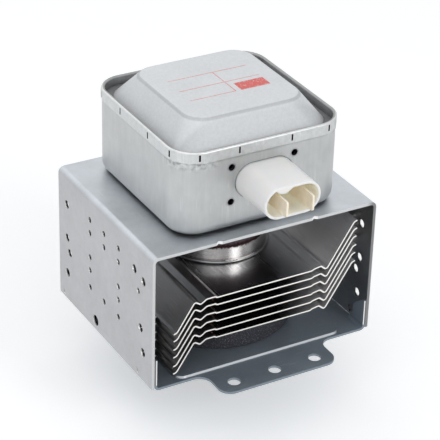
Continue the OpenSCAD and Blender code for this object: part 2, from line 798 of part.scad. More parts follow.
// Centre line of a fin across its folds, with the flat middle at height 0
fin_line =
    let (g = fin_groove_w, side = fin_flat + fin_land_w, ridge = side + 2 * g, end = wall_x - fit_gap)
    [[-end, -fin_drop], [-fin_left_x, -fin_drop],
     [-ridge, fin_land_h], [-side - g, fin_land_h - fin_groove_h], [-side, fin_land_h],
     [-fin_flat - fin_step_w, fin_land_h], [-fin_flat + fin_step_w, 0],
     [fin_flat - fin_step_w, 0], [fin_flat + fin_step_w, fin_land_h],
     [side - fin_right_tip, fin_land_h + fin_right_tip],
     [side + g - fin_right_tip, fin_land_h - fin_groove_h],
     [fin_right_x, fin_rise], [end, fin_rise]];
fin_last = len(fin_line) - 1;
fin_radii = [for (i = [0:fin_last]) i == 1 || i == fin_last - 1 ? fin_fold_r : fin_bend_r];

module cooling_fin(index) {
    edge = yoke_d / 2 - fin_inset;
    notch_y = yoke_d / 2 - fin_notch_d;
    bore = anode_r + fit_gap;
    knee = fin_collar_r + fin_t;
    color("#8b8d92")
    translate([0, 0, fin_low_z + (index - 1) * fin_pitch])
    difference() {
        union() {
            difference() {
                upright(-edge, edge) polygon(sheet(bent_line(fin_line, fin_radii), fin_t));
                for (y = [-edge - cut, notch_y]) {
                    translate([-wall_x - cut, y, -fin_drop - cut])
                        cube([wall_x + cut - fin_left_x - fin_stub, edge + cut - notch_y, 2 * cut]);
                    translate([fin_right_x + fin_stub, y, fin_rise - cut])
                        cube([wall_x + cut - fin_right_x, edge + cut - notch_y, 2 * cut]);
                }
            }
            rotate_extrude() difference() {
                translate([bore - cut, -fin_t / 2]) square([knee + cut, knee]);
                translate([bore + knee, fin_t / 2 + fin_collar_r]) circle(fin_collar_r);
            }
            ring(bore - cut, bore + fin_t, 0, fin_t / 2 + fin_collar_h);
        }
        shaft(-cut, fin_collar_h + cut, bore);
    }
}

// Helical route round the Z axis from z0 to z1
function helix(r, z0, z1, turns, steps) =
    [for (i = [0:turns * steps])
        [r * cos(360 * i / steps), r * sin(360 * i / steps), z0 + (z1 - z0) * i / (turns * steps)]];

module filament() {
    room = hat_reach - filament_wire_r - fit_gap;
    color("#6b6460")
    wire(helix(filament_r, anode_mid - room, anode_mid + room, filament_turns, 12), filament_wire_r, 6);
}

module lower_end_hat() {
    color("#5d5a58")
    ring(rod_r + fit_gap, hat_r, anode_mid - hat_reach - hat_t, anode_mid - hat_reach);
}

module upper_end_hat() {
    color("#5d5a58")
    ring(rod_r + fit_gap, hat_r, anode_mid + hat_reach, anode_mid + hat_reach + hat_t);
}

// Centre rod to the lower end hat and side rod to the upper one, both bent out to the stem terminals
module cathode_rods() {
    hat_top = anode_mid + hat_reach + hat_t;
    knee = hat_top + rod_straight;
    side_x = hat_r - rod_r;
    color("#77706c") {
        wire([[0, 0, anode_mid - hat_reach - hat_t], [0, 0, knee], [-stem_lead_x, 0, anode_high],
              [-stem_lead_x, 0, stem_high]], rod_r, 8, [0, 1, 0]);
        wire([[side_x, 0, hat_top + fit_gap], [side_x, 0, knee], [stem_lead_x, 0, anode_high],
              [stem_lead_x, 0, stem_high]], rod_r, 8, [0, 1, 0]);
    }
}

module stem_ceramic() {
    color("#e6dccf")
    difference() {
        shaft(stem_low, stem_high, cup_r);
        for (x = [-1, 1])
            translate([x * stem_lead_x, 0, 0]) shaft(stem_low - cut, stem_high + cut, rod_r + fit_gap);
    }
}

module stem_terminals() {
    color("#b5b3ab")
    for (x = [-1, 1]) translate([x * stem_lead_x, 0, stem_high]) {
        cylinder(h = stem_foot_t, r = stem_foot_r);
        cylinder(h = stem_post_h, r = stem_post_r);
    }
}

module antenna_rod() {
    tap = [antenna_tap_r, 0, anode_mid - vane_half];
    knee = [antenna_tap_r, 0, anode_low + antenna_knee_h];
    color("#b87756")
    wire([tap, knee, [0, 0, anode_low - antenna_low_h], [0, 0, ceramic_end - exhaust_h + exhaust_pinch]],
         antenna_rod_r, 10, [0, 1, 0]);
}

module antenna_ceramic() {
    color("#e9d9d2") ring(antenna_ceramic_bore_r, antenna_ceramic_r, ceramic_end, cup_end);
}

// Pumping tube with its sealing disc, pinched shut at the lower end
module exhaust_tube() {
    wall = exhaust_wall;
    disc_r = antenna_cap_r - antenna_cap_t - fit_gap;
    disc_low = ceramic_end - cup_t;
    tube_low = ceramic_end - exhaust_h;
    tip = tube_low - exhaust_pinch;
    color("#b87756")
    rotate_extrude()
        polygon([[exhaust_r - wall, ceramic_end], [disc_r, ceramic_end], [disc_r, disc_low],
                 [exhaust_r, disc_low], [exhaust_r, tube_low], [wall, tip], [0, tip],
                 [0, tube_low], [exhaust_r - wall, tube_low + exhaust_pinch / 2]]);
}

// Half outline of the antenna cap, hollowed from one end
module cap_plan(r, h, e) {
    square([r, h - e]);
    square([r - e, h]);
    translate([r - e, h - e]) circle(e);
}

module antenna_cap() {
    t = antenna_cap_t;
    color("#bfc0bd")
    translate([0, 0, ceramic_end]) mirror([0, 0, 1])
        rotate_extrude() difference() {
            cap_plan(antenna_cap_r, antenna_cap_h, antenna_cap_edge_r);
            translate([0, -cut])
                cap_plan(antenna_cap_r - t, antenna_cap_h - t + cut, max(antenna_cap_edge_r - t, t));
        }
}

// Drawn can with a rounded bottom edge, solid, standing on height 0
module drawn_can(w, d, r, bottom_r, h) {
    hull() {
        for (x = [-1, 1], y = [-1, 1])
            translate([x * (w / 2 - r), y * (d / 2 - r), bottom_r])
                rotate_extrude($fn = hull_fn) translate([r - bottom_r, 0]) intersection() {
                    circle(bottom_r, $fn = edge_fn);
                    translate([0, -bottom_r]) square([bottom_r, bottom_r]);
                }
        translate([0, 0, h - can_slice])
            linear_extrude(can_slice) rounded_plan(w, d, r, $fn = hull_fn);
    }
}

// Plan of the rim band, drawn in by the distance inset on all sides
module rim_plan(inset) {
    grow = rim_out - inset;
    rounded_plan(box_w + 2 * grow, box_d + 2 * grow, box_r + grow);
}

// Slit through the rim band into the fold, on the side whose wall lies at -wall
module rim_slit(x, wall) {
    translate([x - slit_w / 2, -wall - rim_out - cut, rim_low + slit_z])
        cube([slit_w, cut + box_t + hem_gap / 2, slit_h]);
}

// Fold of the rim over the lid's border: a strip on top and a leg that holds the lid down
module rim_fold() {
    leg_low = lid_seat + lid_t + fit_gap;
    translate([0, 0, rim_top - box_t]) linear_extrude(box_t) difference() {
        rim_plan(box_t / 2);
        rim_plan(hem_w);
    }
    translate([0, 0, leg_low]) linear_extrude(rim_top - box_t - leg_low) difference() {
        rim_plan(hem_w - box_t);
        rim_plan(hem_w);
    }
}

module filter_box() {
    t = box_t;
    color("#b7b9ba")
    translate([box_x, box_y, 0]) {
        difference() {
            union() {
                translate([0, 0, yoke_top])
                    drawn_can(box_w, box_d, box_r, box_bottom_r, box_h - rim_h + t);
                translate([0, 0, rim_low]) linear_extrude(rim_h) rim_plan(0);
            }
            translate([0, 0, yoke_top + t])
                drawn_can(box_w - 2 * t, box_d - 2 * t, box_r - t, box_bottom_r - t, box_h);
            translate([0, 0, lid_seat]) linear_extrude(rim_h) rim_plan(t);
            for (side = [0, 180], x = [slit_inner, slit_outer]) rotate(side) {
                for (m = [-1, 1]) rim_slit(m * x, box_d / 2);
            }
            for (side = [90, 270], x = [slit_inner, slit_outer]) rotate(side) {
                for (m = [-1, 1]) rim_slit(m * x, box_w / 2);
            }
            translate([-box_x, -box_y, 0]) {
                shaft(yoke_top - cut, yoke_top + t + cut, neck_hole_r);
                at_rivets() shaft(yoke_top - cut, yoke_top + t + cut, rivet_r + fit_gap);
            }
            translate([0, -box_y, shell_mid]) upright(box_front - cut, wall_in + cut)
                obround(neck_w + 2 * fit_gap, neck_h + 2 * fit_gap);
            for (x = boss_xs, z = [-1, 1])
                along(x, -box_d / 2 - cut, -box_d / 2 + t + cut, shell_mid + z * boss_z, boss_r + fit_gap);
        }
        rim_fold();
    }
}

// Sloping dome of the lid, solid, standing on height 0
module lid_dome(flat_w, flat_r, edge_r, foot_w, foot_d, foot_r, h) {
    hull() {
        for (x = [-1, 1], y = [-1, 1])
            translate([x * (flat_w / 2 - flat_r), y * (flat_w / 2 - flat_r), h - edge_r])
                rotate_extrude($fn = hull_fn) translate([flat_r, 0]) intersection() {
                    circle(edge_r, $fn = hull_fn / 2);
                    square(edge_r);
                }
        linear_extrude(slice) rounded_plan(foot_w, foot_d, foot_r, $fn = hull_fn);
    }
}

module filter_lid() {
    t = lid_t;
    h = lid_top - lid_seat;
    color("#cdd0d3")
    translate([box_x, box_y, lid_seat])
    difference() {
        union() {
            linear_extrude(t) rim_plan(box_t + fit_gap);
            lid_dome(lid_flat_w, lid_flat_r, lid_edge_r, lid_foot_w, lid_foot_d, lid_foot_r, h);
        }
        translate([0, 0, -t])
            lid_dome(lid_flat_w, lid_flat_r, lid_edge_r,
                     lid_foot_w - 2 * t, lid_foot_d - 2 * t, lid_foot_r - t, h);
    }
}

module box_rivets() {
    inside = yoke_top + box_t;
    color("#9b9d9f")
    at_rivets() {
        shaft(roof_z - rivet_head_t, roof_z, rivet_head_r);
        shaft(roof_z - rivet_head_t, inside + rivet_head_t, rivet_r);
        shaft(inside, inside + rivet_head_t, rivet_head_r);
    }
}

// Steel flange that carries the capacitor, with four bosses staked in the box wall
module capacitor_flange() {
    color("#a9abad")
    translate([box_x, 0, shell_mid])
    difference() {
        union() {
            upright(wall_in, flange_in) square([flange_w, flange_h], center = true);
            for (x = boss_xs, z = [-1, 1]) along(x, box_front, flange_in, z * boss_z, boss_r);
        }
        upright(wall_in - cut, flange_in + cut) obround(neck_w + 2 * fit_gap, neck_h + 2 * fit_gap);
        for (x = boss_xs, z = [-1, 1])
            along(x, box_front - cut, flange_in + cut, z * boss_z, boss_hole_r);
    }
}

module capacitor_block() {
    color("#2f4a63")
    translate([box_x, 0, shell_mid])
    difference() {
        upright(flange_in, cap_in) obround(cap_w, cap_h);
        for (x = [-1, 1]) along(x * blade_x, flange_in - cut, cap_in + cut, 0, stud_r + fit_gap);
    }
}

module connector_shell() {
    wall = shell_wall;
    color("#e3e2dd")
    translate([box_x, 0, shell_mid])
    difference() {
        union() {
            hull() {
                upright(box_front - slice, box_front) obround(shell_w, shell_h, $fn = hull_fn);
                upright(mouth_y, mouth_y + slice) obround(mouth_w, mouth_h, $fn = hull_fn);
            }
            upright(box_front - cut, flange_in) obround(neck_w, neck_h);
        }
        upright(mouth_y - cut, socket_end) obround(mouth_w - 2 * wall, mouth_h - 2 * wall);
        for (x = [-1, 1]) along(x * blade_x, socket_end - cut, flange_in + cut, 0, stud_r + fit_gap);
    }
}

// Flat tab that stands out of the socket, on a rod that runs back through the capacitor
module terminal_tab(side) {
    x = side * blade_x;
    root = socket_end - fit_gap;
    tip = root - blade_len;
    half = blade_h / 2;
    e = blade_edge;
    color("#c9c4b4")
    translate([box_x, 0, shell_mid]) {
        translate([x - blade_t / 2, 0, 0])
            rotate([90, 0, 90]) linear_extrude(blade_t)
                polygon([[root, -half], [tip + e, -half], [tip, e - half], [tip, half - e],
                         [tip + e, half], [root, half]]);
        along(x, root - cut, stud_in, 0, stud_r);
    }
}

module terminal_tab_left() {
    terminal_tab(-1);
}

module terminal_tab_right() {
    terminal_tab(1);
}

// Route of a choke coil's wire, from the capacitor's rod round the core to the stem terminal
function choke_route(side) =
    let (steps = 16,
         inner = choke_x - choke_r,
         rod_x = blade_x + side * box_x,
         last = choke_turns * steps)
    concat(
        [[rod_x, stud_in + fit_gap, shell_mid], [rod_x, stud_in + lead_straight, shell_mid],
         [(rod_x + inner) / 2, (stud_in + lead_straight + choke_start) / 2, (shell_mid + choke_z) / 2]],
        [for (i = [0:last])
            [choke_x - choke_r * cos(360 * i / steps), choke_start + choke_pitch * i / steps,
             choke_z + choke_r * sin(360 * i / steps)]],
        [[inner, choke_end + lead_straight, choke_z],
         [(inner + stem_lead_x) / 2, choke_end + lead_straight, (choke_z + lead_z) / 2],
         [stem_lead_x, choke_end, lead_z], [stem_lead_x, stem_post_r + fit_gap, lead_z]]);

module choke_coil(side) {
    color("#a9623c")
    wire([for (q = choke_route(side)) [side * q[0], q[1], q[2]]], choke_wire_r, 8);
}

module choke_coil_left() {
    choke_coil(-1);
}

module choke_coil_right() {
    choke_coil(1);
}

module choke_core(side) {
    color("#3b3a3c") along(side * choke_x, choke_start, choke_end, choke_z, core_r);
}

module choke_core_left() {
    choke_core(-1);
}

module choke_core_right() {
    choke_core(1);
}

yoke_frame();
base_plate();
rf_gasket();
lower_magnet();
upper_magnet();
anode_cylinder();
anode_vanes();
strap_rings();
lower_pole_piece();
upper_pole_piece();
lower_seal_cup();
upper_seal_cup();
cooling_fin(1);  // cooling_fin_1
cooling_fin(2);  // cooling_fin_2
cooling_fin(3);  // cooling_fin_3
cooling_fin(4);  // cooling_fin_4
cooling_fin(5);  // cooling_fin_5
cooling_fin(6);  // cooling_fin_6
filament();
lower_end_hat();
upper_end_hat();
cathode_rods();
stem_ceramic();
stem_terminals();
antenna_rod();
antenna_ceramic();
exhaust_tube();
antenna_cap();
filter_box();
filter_lid();
box_rivets();
capacitor_flange();
capacitor_block();
connector_shell();
terminal_tab_left();
terminal_tab_right();
choke_coil_left();
choke_coil_right();
choke_core_left();
choke_core_right();
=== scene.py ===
"""Looks of an oven magnetron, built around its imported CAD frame. Run as a script in Blender."""

import math

import bmesh
import bpy
from mathutils import Matrix, Vector


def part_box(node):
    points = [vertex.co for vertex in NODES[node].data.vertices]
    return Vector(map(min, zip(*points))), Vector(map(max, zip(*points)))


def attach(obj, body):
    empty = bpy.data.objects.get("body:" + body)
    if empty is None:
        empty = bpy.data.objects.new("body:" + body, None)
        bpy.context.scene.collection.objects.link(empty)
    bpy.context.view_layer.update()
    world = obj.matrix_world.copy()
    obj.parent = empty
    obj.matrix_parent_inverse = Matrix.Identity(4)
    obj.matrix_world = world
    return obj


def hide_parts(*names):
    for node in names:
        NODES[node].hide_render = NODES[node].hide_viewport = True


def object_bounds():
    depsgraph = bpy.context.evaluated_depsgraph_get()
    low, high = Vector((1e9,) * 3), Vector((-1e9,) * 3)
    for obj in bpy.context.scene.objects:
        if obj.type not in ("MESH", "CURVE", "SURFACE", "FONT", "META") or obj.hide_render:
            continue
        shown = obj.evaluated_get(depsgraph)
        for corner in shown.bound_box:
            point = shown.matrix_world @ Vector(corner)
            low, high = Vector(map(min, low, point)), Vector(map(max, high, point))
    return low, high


bl_info = {
    "name": "Magnetron looks",
    "version": (1, 0, 0),
    "blender": (4, 5, 0),
    "location": "View3D > Sidebar > Magnetron",
    "description": "Sheet metal, plastic and ceramic finishes of an oven magnetron",
    "category": "Object",
}

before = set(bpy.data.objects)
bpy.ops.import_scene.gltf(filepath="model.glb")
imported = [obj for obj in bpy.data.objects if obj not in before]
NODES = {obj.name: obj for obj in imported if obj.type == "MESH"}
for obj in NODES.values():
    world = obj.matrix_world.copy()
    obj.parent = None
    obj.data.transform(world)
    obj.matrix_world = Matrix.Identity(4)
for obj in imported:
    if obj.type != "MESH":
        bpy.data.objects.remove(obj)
CAD_BOX = [list(corner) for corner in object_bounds()]
MM = 0.001


def in_mm(corners):
    """Low corner, high corner and middle of a box of the frame, in millimetres."""
    low, high = [[c / MM for c in corner] for corner in corners]
    return low, high, [(a + b) / 2 for a, b in zip(low, high)]


# Frame sizes that the new pieces start from, in millimetres
BOX_LOW, BOX_HIGH, BOX_MIDDLE = in_mm(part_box("filter_box"))
LID_LOW, LID_HIGH, LID_MIDDLE = in_mm(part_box("filter_lid"))
SHELL_LOW, SHELL_HIGH, SHELL_MIDDLE = in_mm(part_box("connector_shell"))
GASKET_LOW, GASKET_HIGH, GASKET_MIDDLE = in_mm(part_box("rf_gasket"))

# Fins: their pitch in metres, and in millimetres how far they rise to the right and the top one's collar
FIN_1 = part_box("cooling_fin_1")
FIN_6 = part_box("cooling_fin_6")
FIN_COUNT = 6
FIN_PITCH = (FIN_6[0].z - FIN_1[0].z) / (FIN_COUNT - 1)
FIN_RISE = 17.0
COLLAR_HEIGHT = 1.3
COLLAR_TOP = FIN_6[1].z / MM - FIN_RISE + COLLAR_HEIGHT

# Band of the anode that is scraped bright above the collar, in millimetres
SCRAPED_HEIGHT = 4.6

# Plain rules and a bar on the lid, in millimetres from its middle: left, right, front and back
PRINT = ((-17, 17, 8.3, 8.6), (-17, 17, -1.1, -0.8), (-17, 2, -9.6, -9.3), (2, 2.3, -9.6, 8.6),
         (4.5, 17, -9.6, -3.4))


class MagnetronSizes(bpy.types.PropertyGroup):
    """Sizes of the details that the looks add."""

    def length(name, text, size):
        return bpy.props.FloatProperty(name=name, description=text, default=size * MM, min=0, unit="LENGTH")

    def count(name, text, number, least, most):
        return bpy.props.IntProperty(name=name, description=text, default=number, min=least, max=most)

    edge_round: length("Edge rounding", "Rounding along the edges of the heavy sheet", 0.16)
    thin_round: length("Thin edge rounding", "Rounding along the edges of small metal parts", 0.1)
    wrinkle: length("Rim wrinkles", "Depth of the draw wrinkles at the corners of the box rim", 0.16)
    fin_wander: length("Fin wander", "How far a fin sits above or below its place", 0.3)
    fin_tilt: bpy.props.FloatProperty(
        name="Fin tilt", description="How far a fin tilts from its place, as an angle",
        default=math.radians(0.25), min=0, subtype="ANGLE")
    braid_wire: length("Braid wire", "Radius of the wire in the mesh gasket", 0.11)
    braid_strands: count("Braid strands", "Strands in each direction of the mesh gasket", 5, 1, 12)
    braid_turns: count("Braid turns", "Turns of a strand round the gasket ring", 36, 4, 80)

    del length, count


class MagnetronColours(bpy.types.PropertyGroup):
    """Colours of the finishes."""

    def tone(name, text, rgb):
        return bpy.props.FloatVectorProperty(
            name=name, description=text, subtype="COLOR", size=3, min=0, max=1, default=rgb)

    zinc: tone("Zinc", "Zinc plating of the yoke", (0.47, 0.475, 0.485))
    base: tone("Base plate", "Plating of the base plate", (0.285, 0.335, 0.385))
    # Painted highlight: the pan step's lighter colour stands for light on the bend round the pan.
    step: tone("Pan step", "Rubbed step round the pan of the base plate", (0.36, 0.38, 0.4))
    edge: tone("Cut edge", "Sheared edge of the yoke's sheet", (0.6, 0.61, 0.61))
    bright: tone("Bright edge", "Fresh metal in the holes and on the ears", (0.86, 0.86, 0.85))
    fin: tone("Fins", "Rolled aluminium of the fins", (0.42, 0.42, 0.425))
    fin_edge: tone("Fin edges", "Punched edges of the fins", (0.9, 0.88, 0.84))
    box: tone("Box", "Drawn sheet of the filter box", (0.47, 0.48, 0.48))
    lid: tone("Lid", "Stamped sheet of the lid", (0.6, 0.615, 0.63))
    ink: tone("Print", "Ink of the plain rules and bar on the lid", (0.75, 0.1, 0.08))
    plastic: tone("Connector", "Moulded plastic of the connector", (0.87, 0.865, 0.85))
    # Painted light: the socket's lighter, warmer colour stands for light shining through the shell.
    lit_cavity: tone("Socket", "Plastic inside the socket, with light shining through", (1.0, 0.92, 0.76))
    tinned: tone("Terminals", "Tinned metal of the terminal tabs", (0.93, 0.84, 0.7))
    ferrite: tone("Ferrite", "Ferrite of the magnets and cores", (0.024, 0.023, 0.029))
    copper: tone("Copper", "Copper of the tube", (0.5, 0.22, 0.14))
    scraped: tone("Scraped copper", "Bright band of the anode above the fins", (0.84, 0.82, 0.81))
    alumina: tone("Alumina", "White ceramic of the insulators", (0.78, 0.72, 0.66))
    resin: tone("Resin", "Cast resin of the capacitor", (0.03, 0.07, 0.13))
    enamel: tone("Enamel", "Enamelled wire of the chokes", (0.38, 0.12, 0.045))

    del tone


class Value:
    """One output of a node. Sums on it add Math nodes."""

    def __init__(self, graph, socket):
        self.graph = graph
        self.socket = socket

    def sum(self, operation, *values):
        return self.graph.node("ShaderNodeMath", {"operation": operation}, dict(enumerate(values)))

    def operator(operation):
        return lambda value, *others: value.sum(operation, value, *others)

    __add__ = __radd__ = operator("ADD")
    __sub__, __truediv__ = operator("SUBTRACT"), operator("DIVIDE")
    __mul__ = __rmul__ = operator("MULTIPLY")
    __abs__, sin, cos = operator("ABSOLUTE"), operator("SINE"), operator("COSINE")

    del operator

    def __rsub__(self, other):
        return self.sum("SUBTRACT", other, self)

    def rise(self, start, end):
        """0 below start, 1 above end, smooth between; start may be the higher one."""
        ends = (start, end, 0.0, 1.0) if start < end else (end, start, 1.0, 0.0)
        return self.graph.node("ShaderNodeMapRange", {"interpolation_type": "SMOOTHSTEP"},
                               dict(enumerate((self, *ends))))


class Graph:
    """A node tree that is written as expressions."""

    def __init__(self, owner):
        owner.use_nodes = True
        self.tree = owner.node_tree
        self.tree.nodes.clear()

    def node(self, kind, settings=None, inputs=None, out=0):
        """Adds a node with these settings and inputs, and gives one of its outputs."""
        made = self.tree.nodes.new(kind)
        for key, value in (settings or {}).items():
            setattr(made, key, value)
        for key, value in (inputs or {}).items():
            self.feed(made.inputs[key], value)
        return Value(self, made.outputs[out])

    def feed(self, socket, value):
        if isinstance(value, Value):
            self.tree.links.new(value.socket, socket)
        elif hasattr(value, "__len__") and socket.type == "RGBA":
            socket.default_value = (*value, 1)
        else:
            socket.default_value = value

    def end(self, kind, value):
        """Adds the output node of the tree."""
        self.feed(self.tree.nodes.new(kind).inputs[0], value)


class Finish(Graph):
    """A material with one Principled shader. Its coordinates are in millimetres."""

    def __init__(self, name, **constants):
        self.material = bpy.data.materials.new(name)
        super().__init__(self.material)
        self.shader = self.tree.nodes.new("ShaderNodeBsdfPrincipled")
        self.end("ShaderNodeOutputMaterial", Value(self, self.shader.outputs[0]))
        for key, value in constants.items():
            self.set(key.replace("_", " ").title(), value)
        place = self.node("ShaderNodeTexCoord", out="Object")
        self.place = self.node("ShaderNodeVectorMath", {"operation": "SCALE"}, {0: place, "Scale": 1 / MM})
        self.x, self.y, self.z = (
            self.node("ShaderNodeSeparateXYZ", inputs={0: self.place}, out=axis) for axis in range(3))

    def set(self, name, value):
        self.feed(self.shader.inputs[name], value)

    def grid(self, size, stretch=(1, 1, 1), shift=0.0):
        """Coordinates that count lengths of size millimetres, which stretch makes longer along an axis."""
        return self.node("ShaderNodeMapping", inputs={
            "Vector": self.place, "Location": (shift, shift, shift), "Scale": [1 / (size * s) for s in stretch]})

    def noise(self, size, detail=2.0, stretch=(1, 1, 1), shift=0.0):
        """Noise from about 0 to 1 whose patches are size millimetres across."""
        return self.node("ShaderNodeTexNoise", inputs={
            "Vector": self.grid(size, stretch, shift), "Scale": 1.0, "Detail": detail})

    def cells(self, size):
        """Distance from the middles of cells that are size millimetres across."""
        return self.node("ShaderNodeTexVoronoi", inputs={"Vector": self.grid(size), "Scale": 1.0})

    def mix(self, share, first, second):
        return self.node("ShaderNodeMix", {"data_type": "RGBA"}, {0: share, 6: first, 7: second}, out=2)

    def shade(self, colour, amount):
        """The colour made lighter where amount is over 1 and darker where it is under 1."""
        grey = self.node("ShaderNodeCombineXYZ", inputs={0: amount, 1: amount, 2: amount})
        return self.node("ShaderNodeVectorMath", {"operation": "MULTIPLY"}, {0: colour, 1: grey})

    def done(self, colour, roughness, height, depth, strength):
        """The material with this colour and roughness, and a bump in which a height of 1 is depth millimetres."""
        self.set("Base Color", colour)
        self.set("Roughness", roughness)
        self.set("Normal", self.node("ShaderNodeBump", inputs={
            "Strength": strength, "Distance": depth * MM, "Height": height}))
        return self.material


def scratches(finish, along, size=0.5, share=0.66):
    """Thin light lines that run along one axis: 0 for X, 1 for Y, 2 for Z."""
    stretch = [1, 1, 1]
    stretch[along] = 40
    line = finish.noise(size, 1.0, stretch, shift=3.7)
    patch = finish.noise(9, 1.0, shift=8.1)
    return line.rise(share, share + 0.08) * patch.rise(0.5, 0.62)


def zinc_sheet(colour, roof):
    """Zinc plated sheet; from the height roof the top is painted a little lighter and bluer than the walls, as
    painted sky light.
    """
    f = Finish("zinc_sheet", metallic=1.0)
    cloud = f.noise(14, 3.0)
    # Painted sky light: the top's colour is made lighter and bluer.
    painted_sky_tint = [c * k for c, k in zip(colour, (1.15, 1.2, 1.25))]
    colour = f.mix(f.z.rise(roof - 2, roof - 0.5), colour, painted_sky_tint)
    grain = f.noise(0.5, 2.0, (1, 1, 24))
    speck = f.noise(0.8, 1.0, shift=5.0).rise(0.68, 0.76)
    worn = scratches(f, 1)
    spangle = f.noise(3.2, 3.0, shift=11.0)
    tone = 0.78 + cloud * 0.28 + spangle * 0.16 + grain * 0.06 - speck * 0.09 + worn * 0.08
    return f.done(f.shade(colour, tone), 0.3 + cloud * 0.12 + grain * 0.06,
                  grain * 0.5 + f.noise(5, 1.0) * 2.0, depth=0.02, strength=0.35)


def base_sheet(colour):
    f = Finish("base_sheet", metallic=0.6)
    cloud = f.noise(11, 3.0)
    grain = f.noise(0.45, 2.0, (24, 1, 1))
    fleck = f.noise(0.7, shift=5.0).rise(0.62, 0.72)
    worn = scratches(f, 0, 0.28, 0.68)
    tone = 0.82 + cloud * 0.26 + grain * 0.14 + fleck * 0.14 + worn * 0.8
    return f.done(f.shade(colour, tone), 0.3 + cloud * 0.12 + worn * 0.1,
                  grain * 0.4 + f.noise(6, 1.0) * 2.0, depth=0.02, strength=0.3)


def cut_edge(name, colour, metallic=1.0, painted_shade=None):
    """Sheared edge; its last argument gives the share of painted shade that darkens it at a place, where it isn't the
    same all over.
    """
    f = Finish(name, metallic=metallic)
    tear = f.noise(0.35)
    tone = 0.87 + tear * 0.22
    # Painted shade darkens the edge by the given share.
    if painted_shade:
        tone = tone * (1 - painted_shade(f))
    return f.done(f.shade(colour, tone), 0.32 + tear * 0.2, tear, depth=0.02, strength=0.4)


def fin_sheet(colour):
    """Rolled sheet, scuffed towards the left ends, with painted light that makes it lighter there and much lighter
    towards the right ones, which are also duller.
    """
    f = Finish("fin_sheet", metallic=1.0)
    cloud = f.noise(9, 3.0)
    roll = f.noise(0.4, 2.0, (1, 40, 1))
    oil = f.noise(4, 2.0, (1, 3, 1), shift=2.0).rise(0.55, 0.72)
    left, right = f.x.rise(-14, -32), f.x.rise(4, 24)
    scuff = scratches(f, 1, 0.5, 0.6) + f.noise(1.6, 3.0, (1, 4, 1), shift=15.0).rise(0.62, 0.74) * left * 0.6
    # The left and right terms are painted light over a darker middle.
    tone = 0.48 + cloud * 0.2 + roll * 0.12 - oil * 0.12 + left * 0.36 + right * 1.0 + scuff * 0.3
    return f.done(f.shade(colour, tone), 0.16 + cloud * 0.08 + roll * 0.08 + left * 0.12 + right * 0.28,
                  roll * 0.3 + f.noise(7, 1.0) * 2.0, depth=0.02, strength=0.3)


def drawn_sheet(name, colour, low, rim, top):
    """Drawn sheet with upright streaks: painted lighter from rim to top with a painted highlight along the top,
    marked below it, darkened by painted contact shade at the foot and lightened by painted light on the left.
    """
    f = Finish(name, metallic=1.0)
    cloud = f.noise(10, 3.0)
    streak = f.noise(1.1, 3.0, (1, 1, 18))
    fine = f.noise(0.3, 2.0, (1, 1, 30), shift=4.0)
    scuff = scratches(f, 2, 0.6, 0.62)
    blot = f.noise(3.5, 3.0, (1, 1, 1.6), shift=12.0)
    # Painted light: the rim band is lighter, with a painted highlight along its rounded top.
    band = f.z.rise(rim - 0.1, rim + 0.5) * 0.18 + f.z.rise(top - 0.7, top - 0.25) * 0.12
    dents = f.noise(1.8, 3.0, (1, 1, 1.2), shift=9.0)
    under = f.x.rise(-14, -24) * f.y.rise(-18, -26) * f.z.rise(rim - 4, rim - 0.8) * f.z.rise(rim + 1, rim)
    crimp = (dents.rise(0.5, 0.62) - dents.rise(0.46, 0.38) * 0.5) * under
    above = f.z.rise(rim - 0.1, rim + 0.3)
    uneven = f.noise(1.3, 3.0, shift=14.0) * above
    # Painted contact shade at the foot, where the box meets the roof.
    foot = f.z.rise(low + 1.5, low + 0.7)
    # Painted light on the left side of the box.
    painted_left_light = f.x.rise(-24, -33)
    tone = 0.7 + painted_left_light * 0.14 + cloud * 0.22 + blot * 0.18 + streak * 0.14 + fine * 0.06 + scuff * 0.1 + band
    tone = tone - crimp * 0.35 + (uneven - 0.5 * above) * 0.35
    return f.done(f.shade(colour, tone * (1 - foot * 0.75)), 0.32 + cloud * 0.1 + streak * 0.1,
                  streak * 0.7 + fine * 0.3 + f.noise(6, 1.0, (1, 1, 2)) * 2.5 + uneven * 3.0,
                  depth=0.025, strength=0.4)


def lid_sheet(colour, ink, centre, low, top):
    """Stamped sheet with plain red rules and a bar on the flat top; painted light lifts the flat top a little, a
    painted dark reflection runs along the ridge round it, and painted shade darkens the front slope and the joint at
    the foot.
    """
    f = Finish("lid_sheet", metallic=1.0)
    cloud = f.noise(12, 3.0)
    grain = f.noise(0.35)
    u, v = f.x - centre[0], f.y - centre[1]
    flat = f.z.rise(top - 0.3, top - 0.1)

    def bar(left, right, front, back, soft=0.06):
        across = u.rise(left - soft, left + soft) * u.rise(right + soft, right - soft)
        return across * v.rise(front - soft, front + soft) * v.rise(back + soft, back - soft)

    bars = [bar(*place) for place in PRINT]
    wear = f.noise(0.5, shift=1.5).rise(0.3, 0.42) * 0.9
    print_mask = sum(bars[1:], bars[0]) * flat * wear
    # Painted dark reflection along the rounded ridge round the flat top.
    ridge_shade = f.z.rise(top - 1.4, top - 0.8) * f.z.rise(top - 0.05, top - 0.35)
    # Painted shade in the gap between the lid's foot and the box rim.
    joint_shade = f.z.rise(low + 1.1, low + 0.7)
    blot = f.noise(1.1, 3.0, shift=12.0)
    # Painted shade on the front slope, and below it a little painted light on the flat top.
    slope = v.rise(-23, -26) * (1 - flat)
    tone = 0.83 + cloud * 0.12 + grain * 0.12 + blot * 0.16 - ridge_shade * 0.2 + flat * 0.04 - slope * 0.13
    metal = f.shade(colour, tone * (1 - joint_shade * 0.6))
    f.set("Metallic", 1 - print_mask * 0.95)
    return f.done(f.mix(print_mask, metal, ink), 0.6 + cloud * 0.1,
                  grain * 0.3 + f.noise(7, 1.0) * 2.0, depth=0.02, strength=0.3)


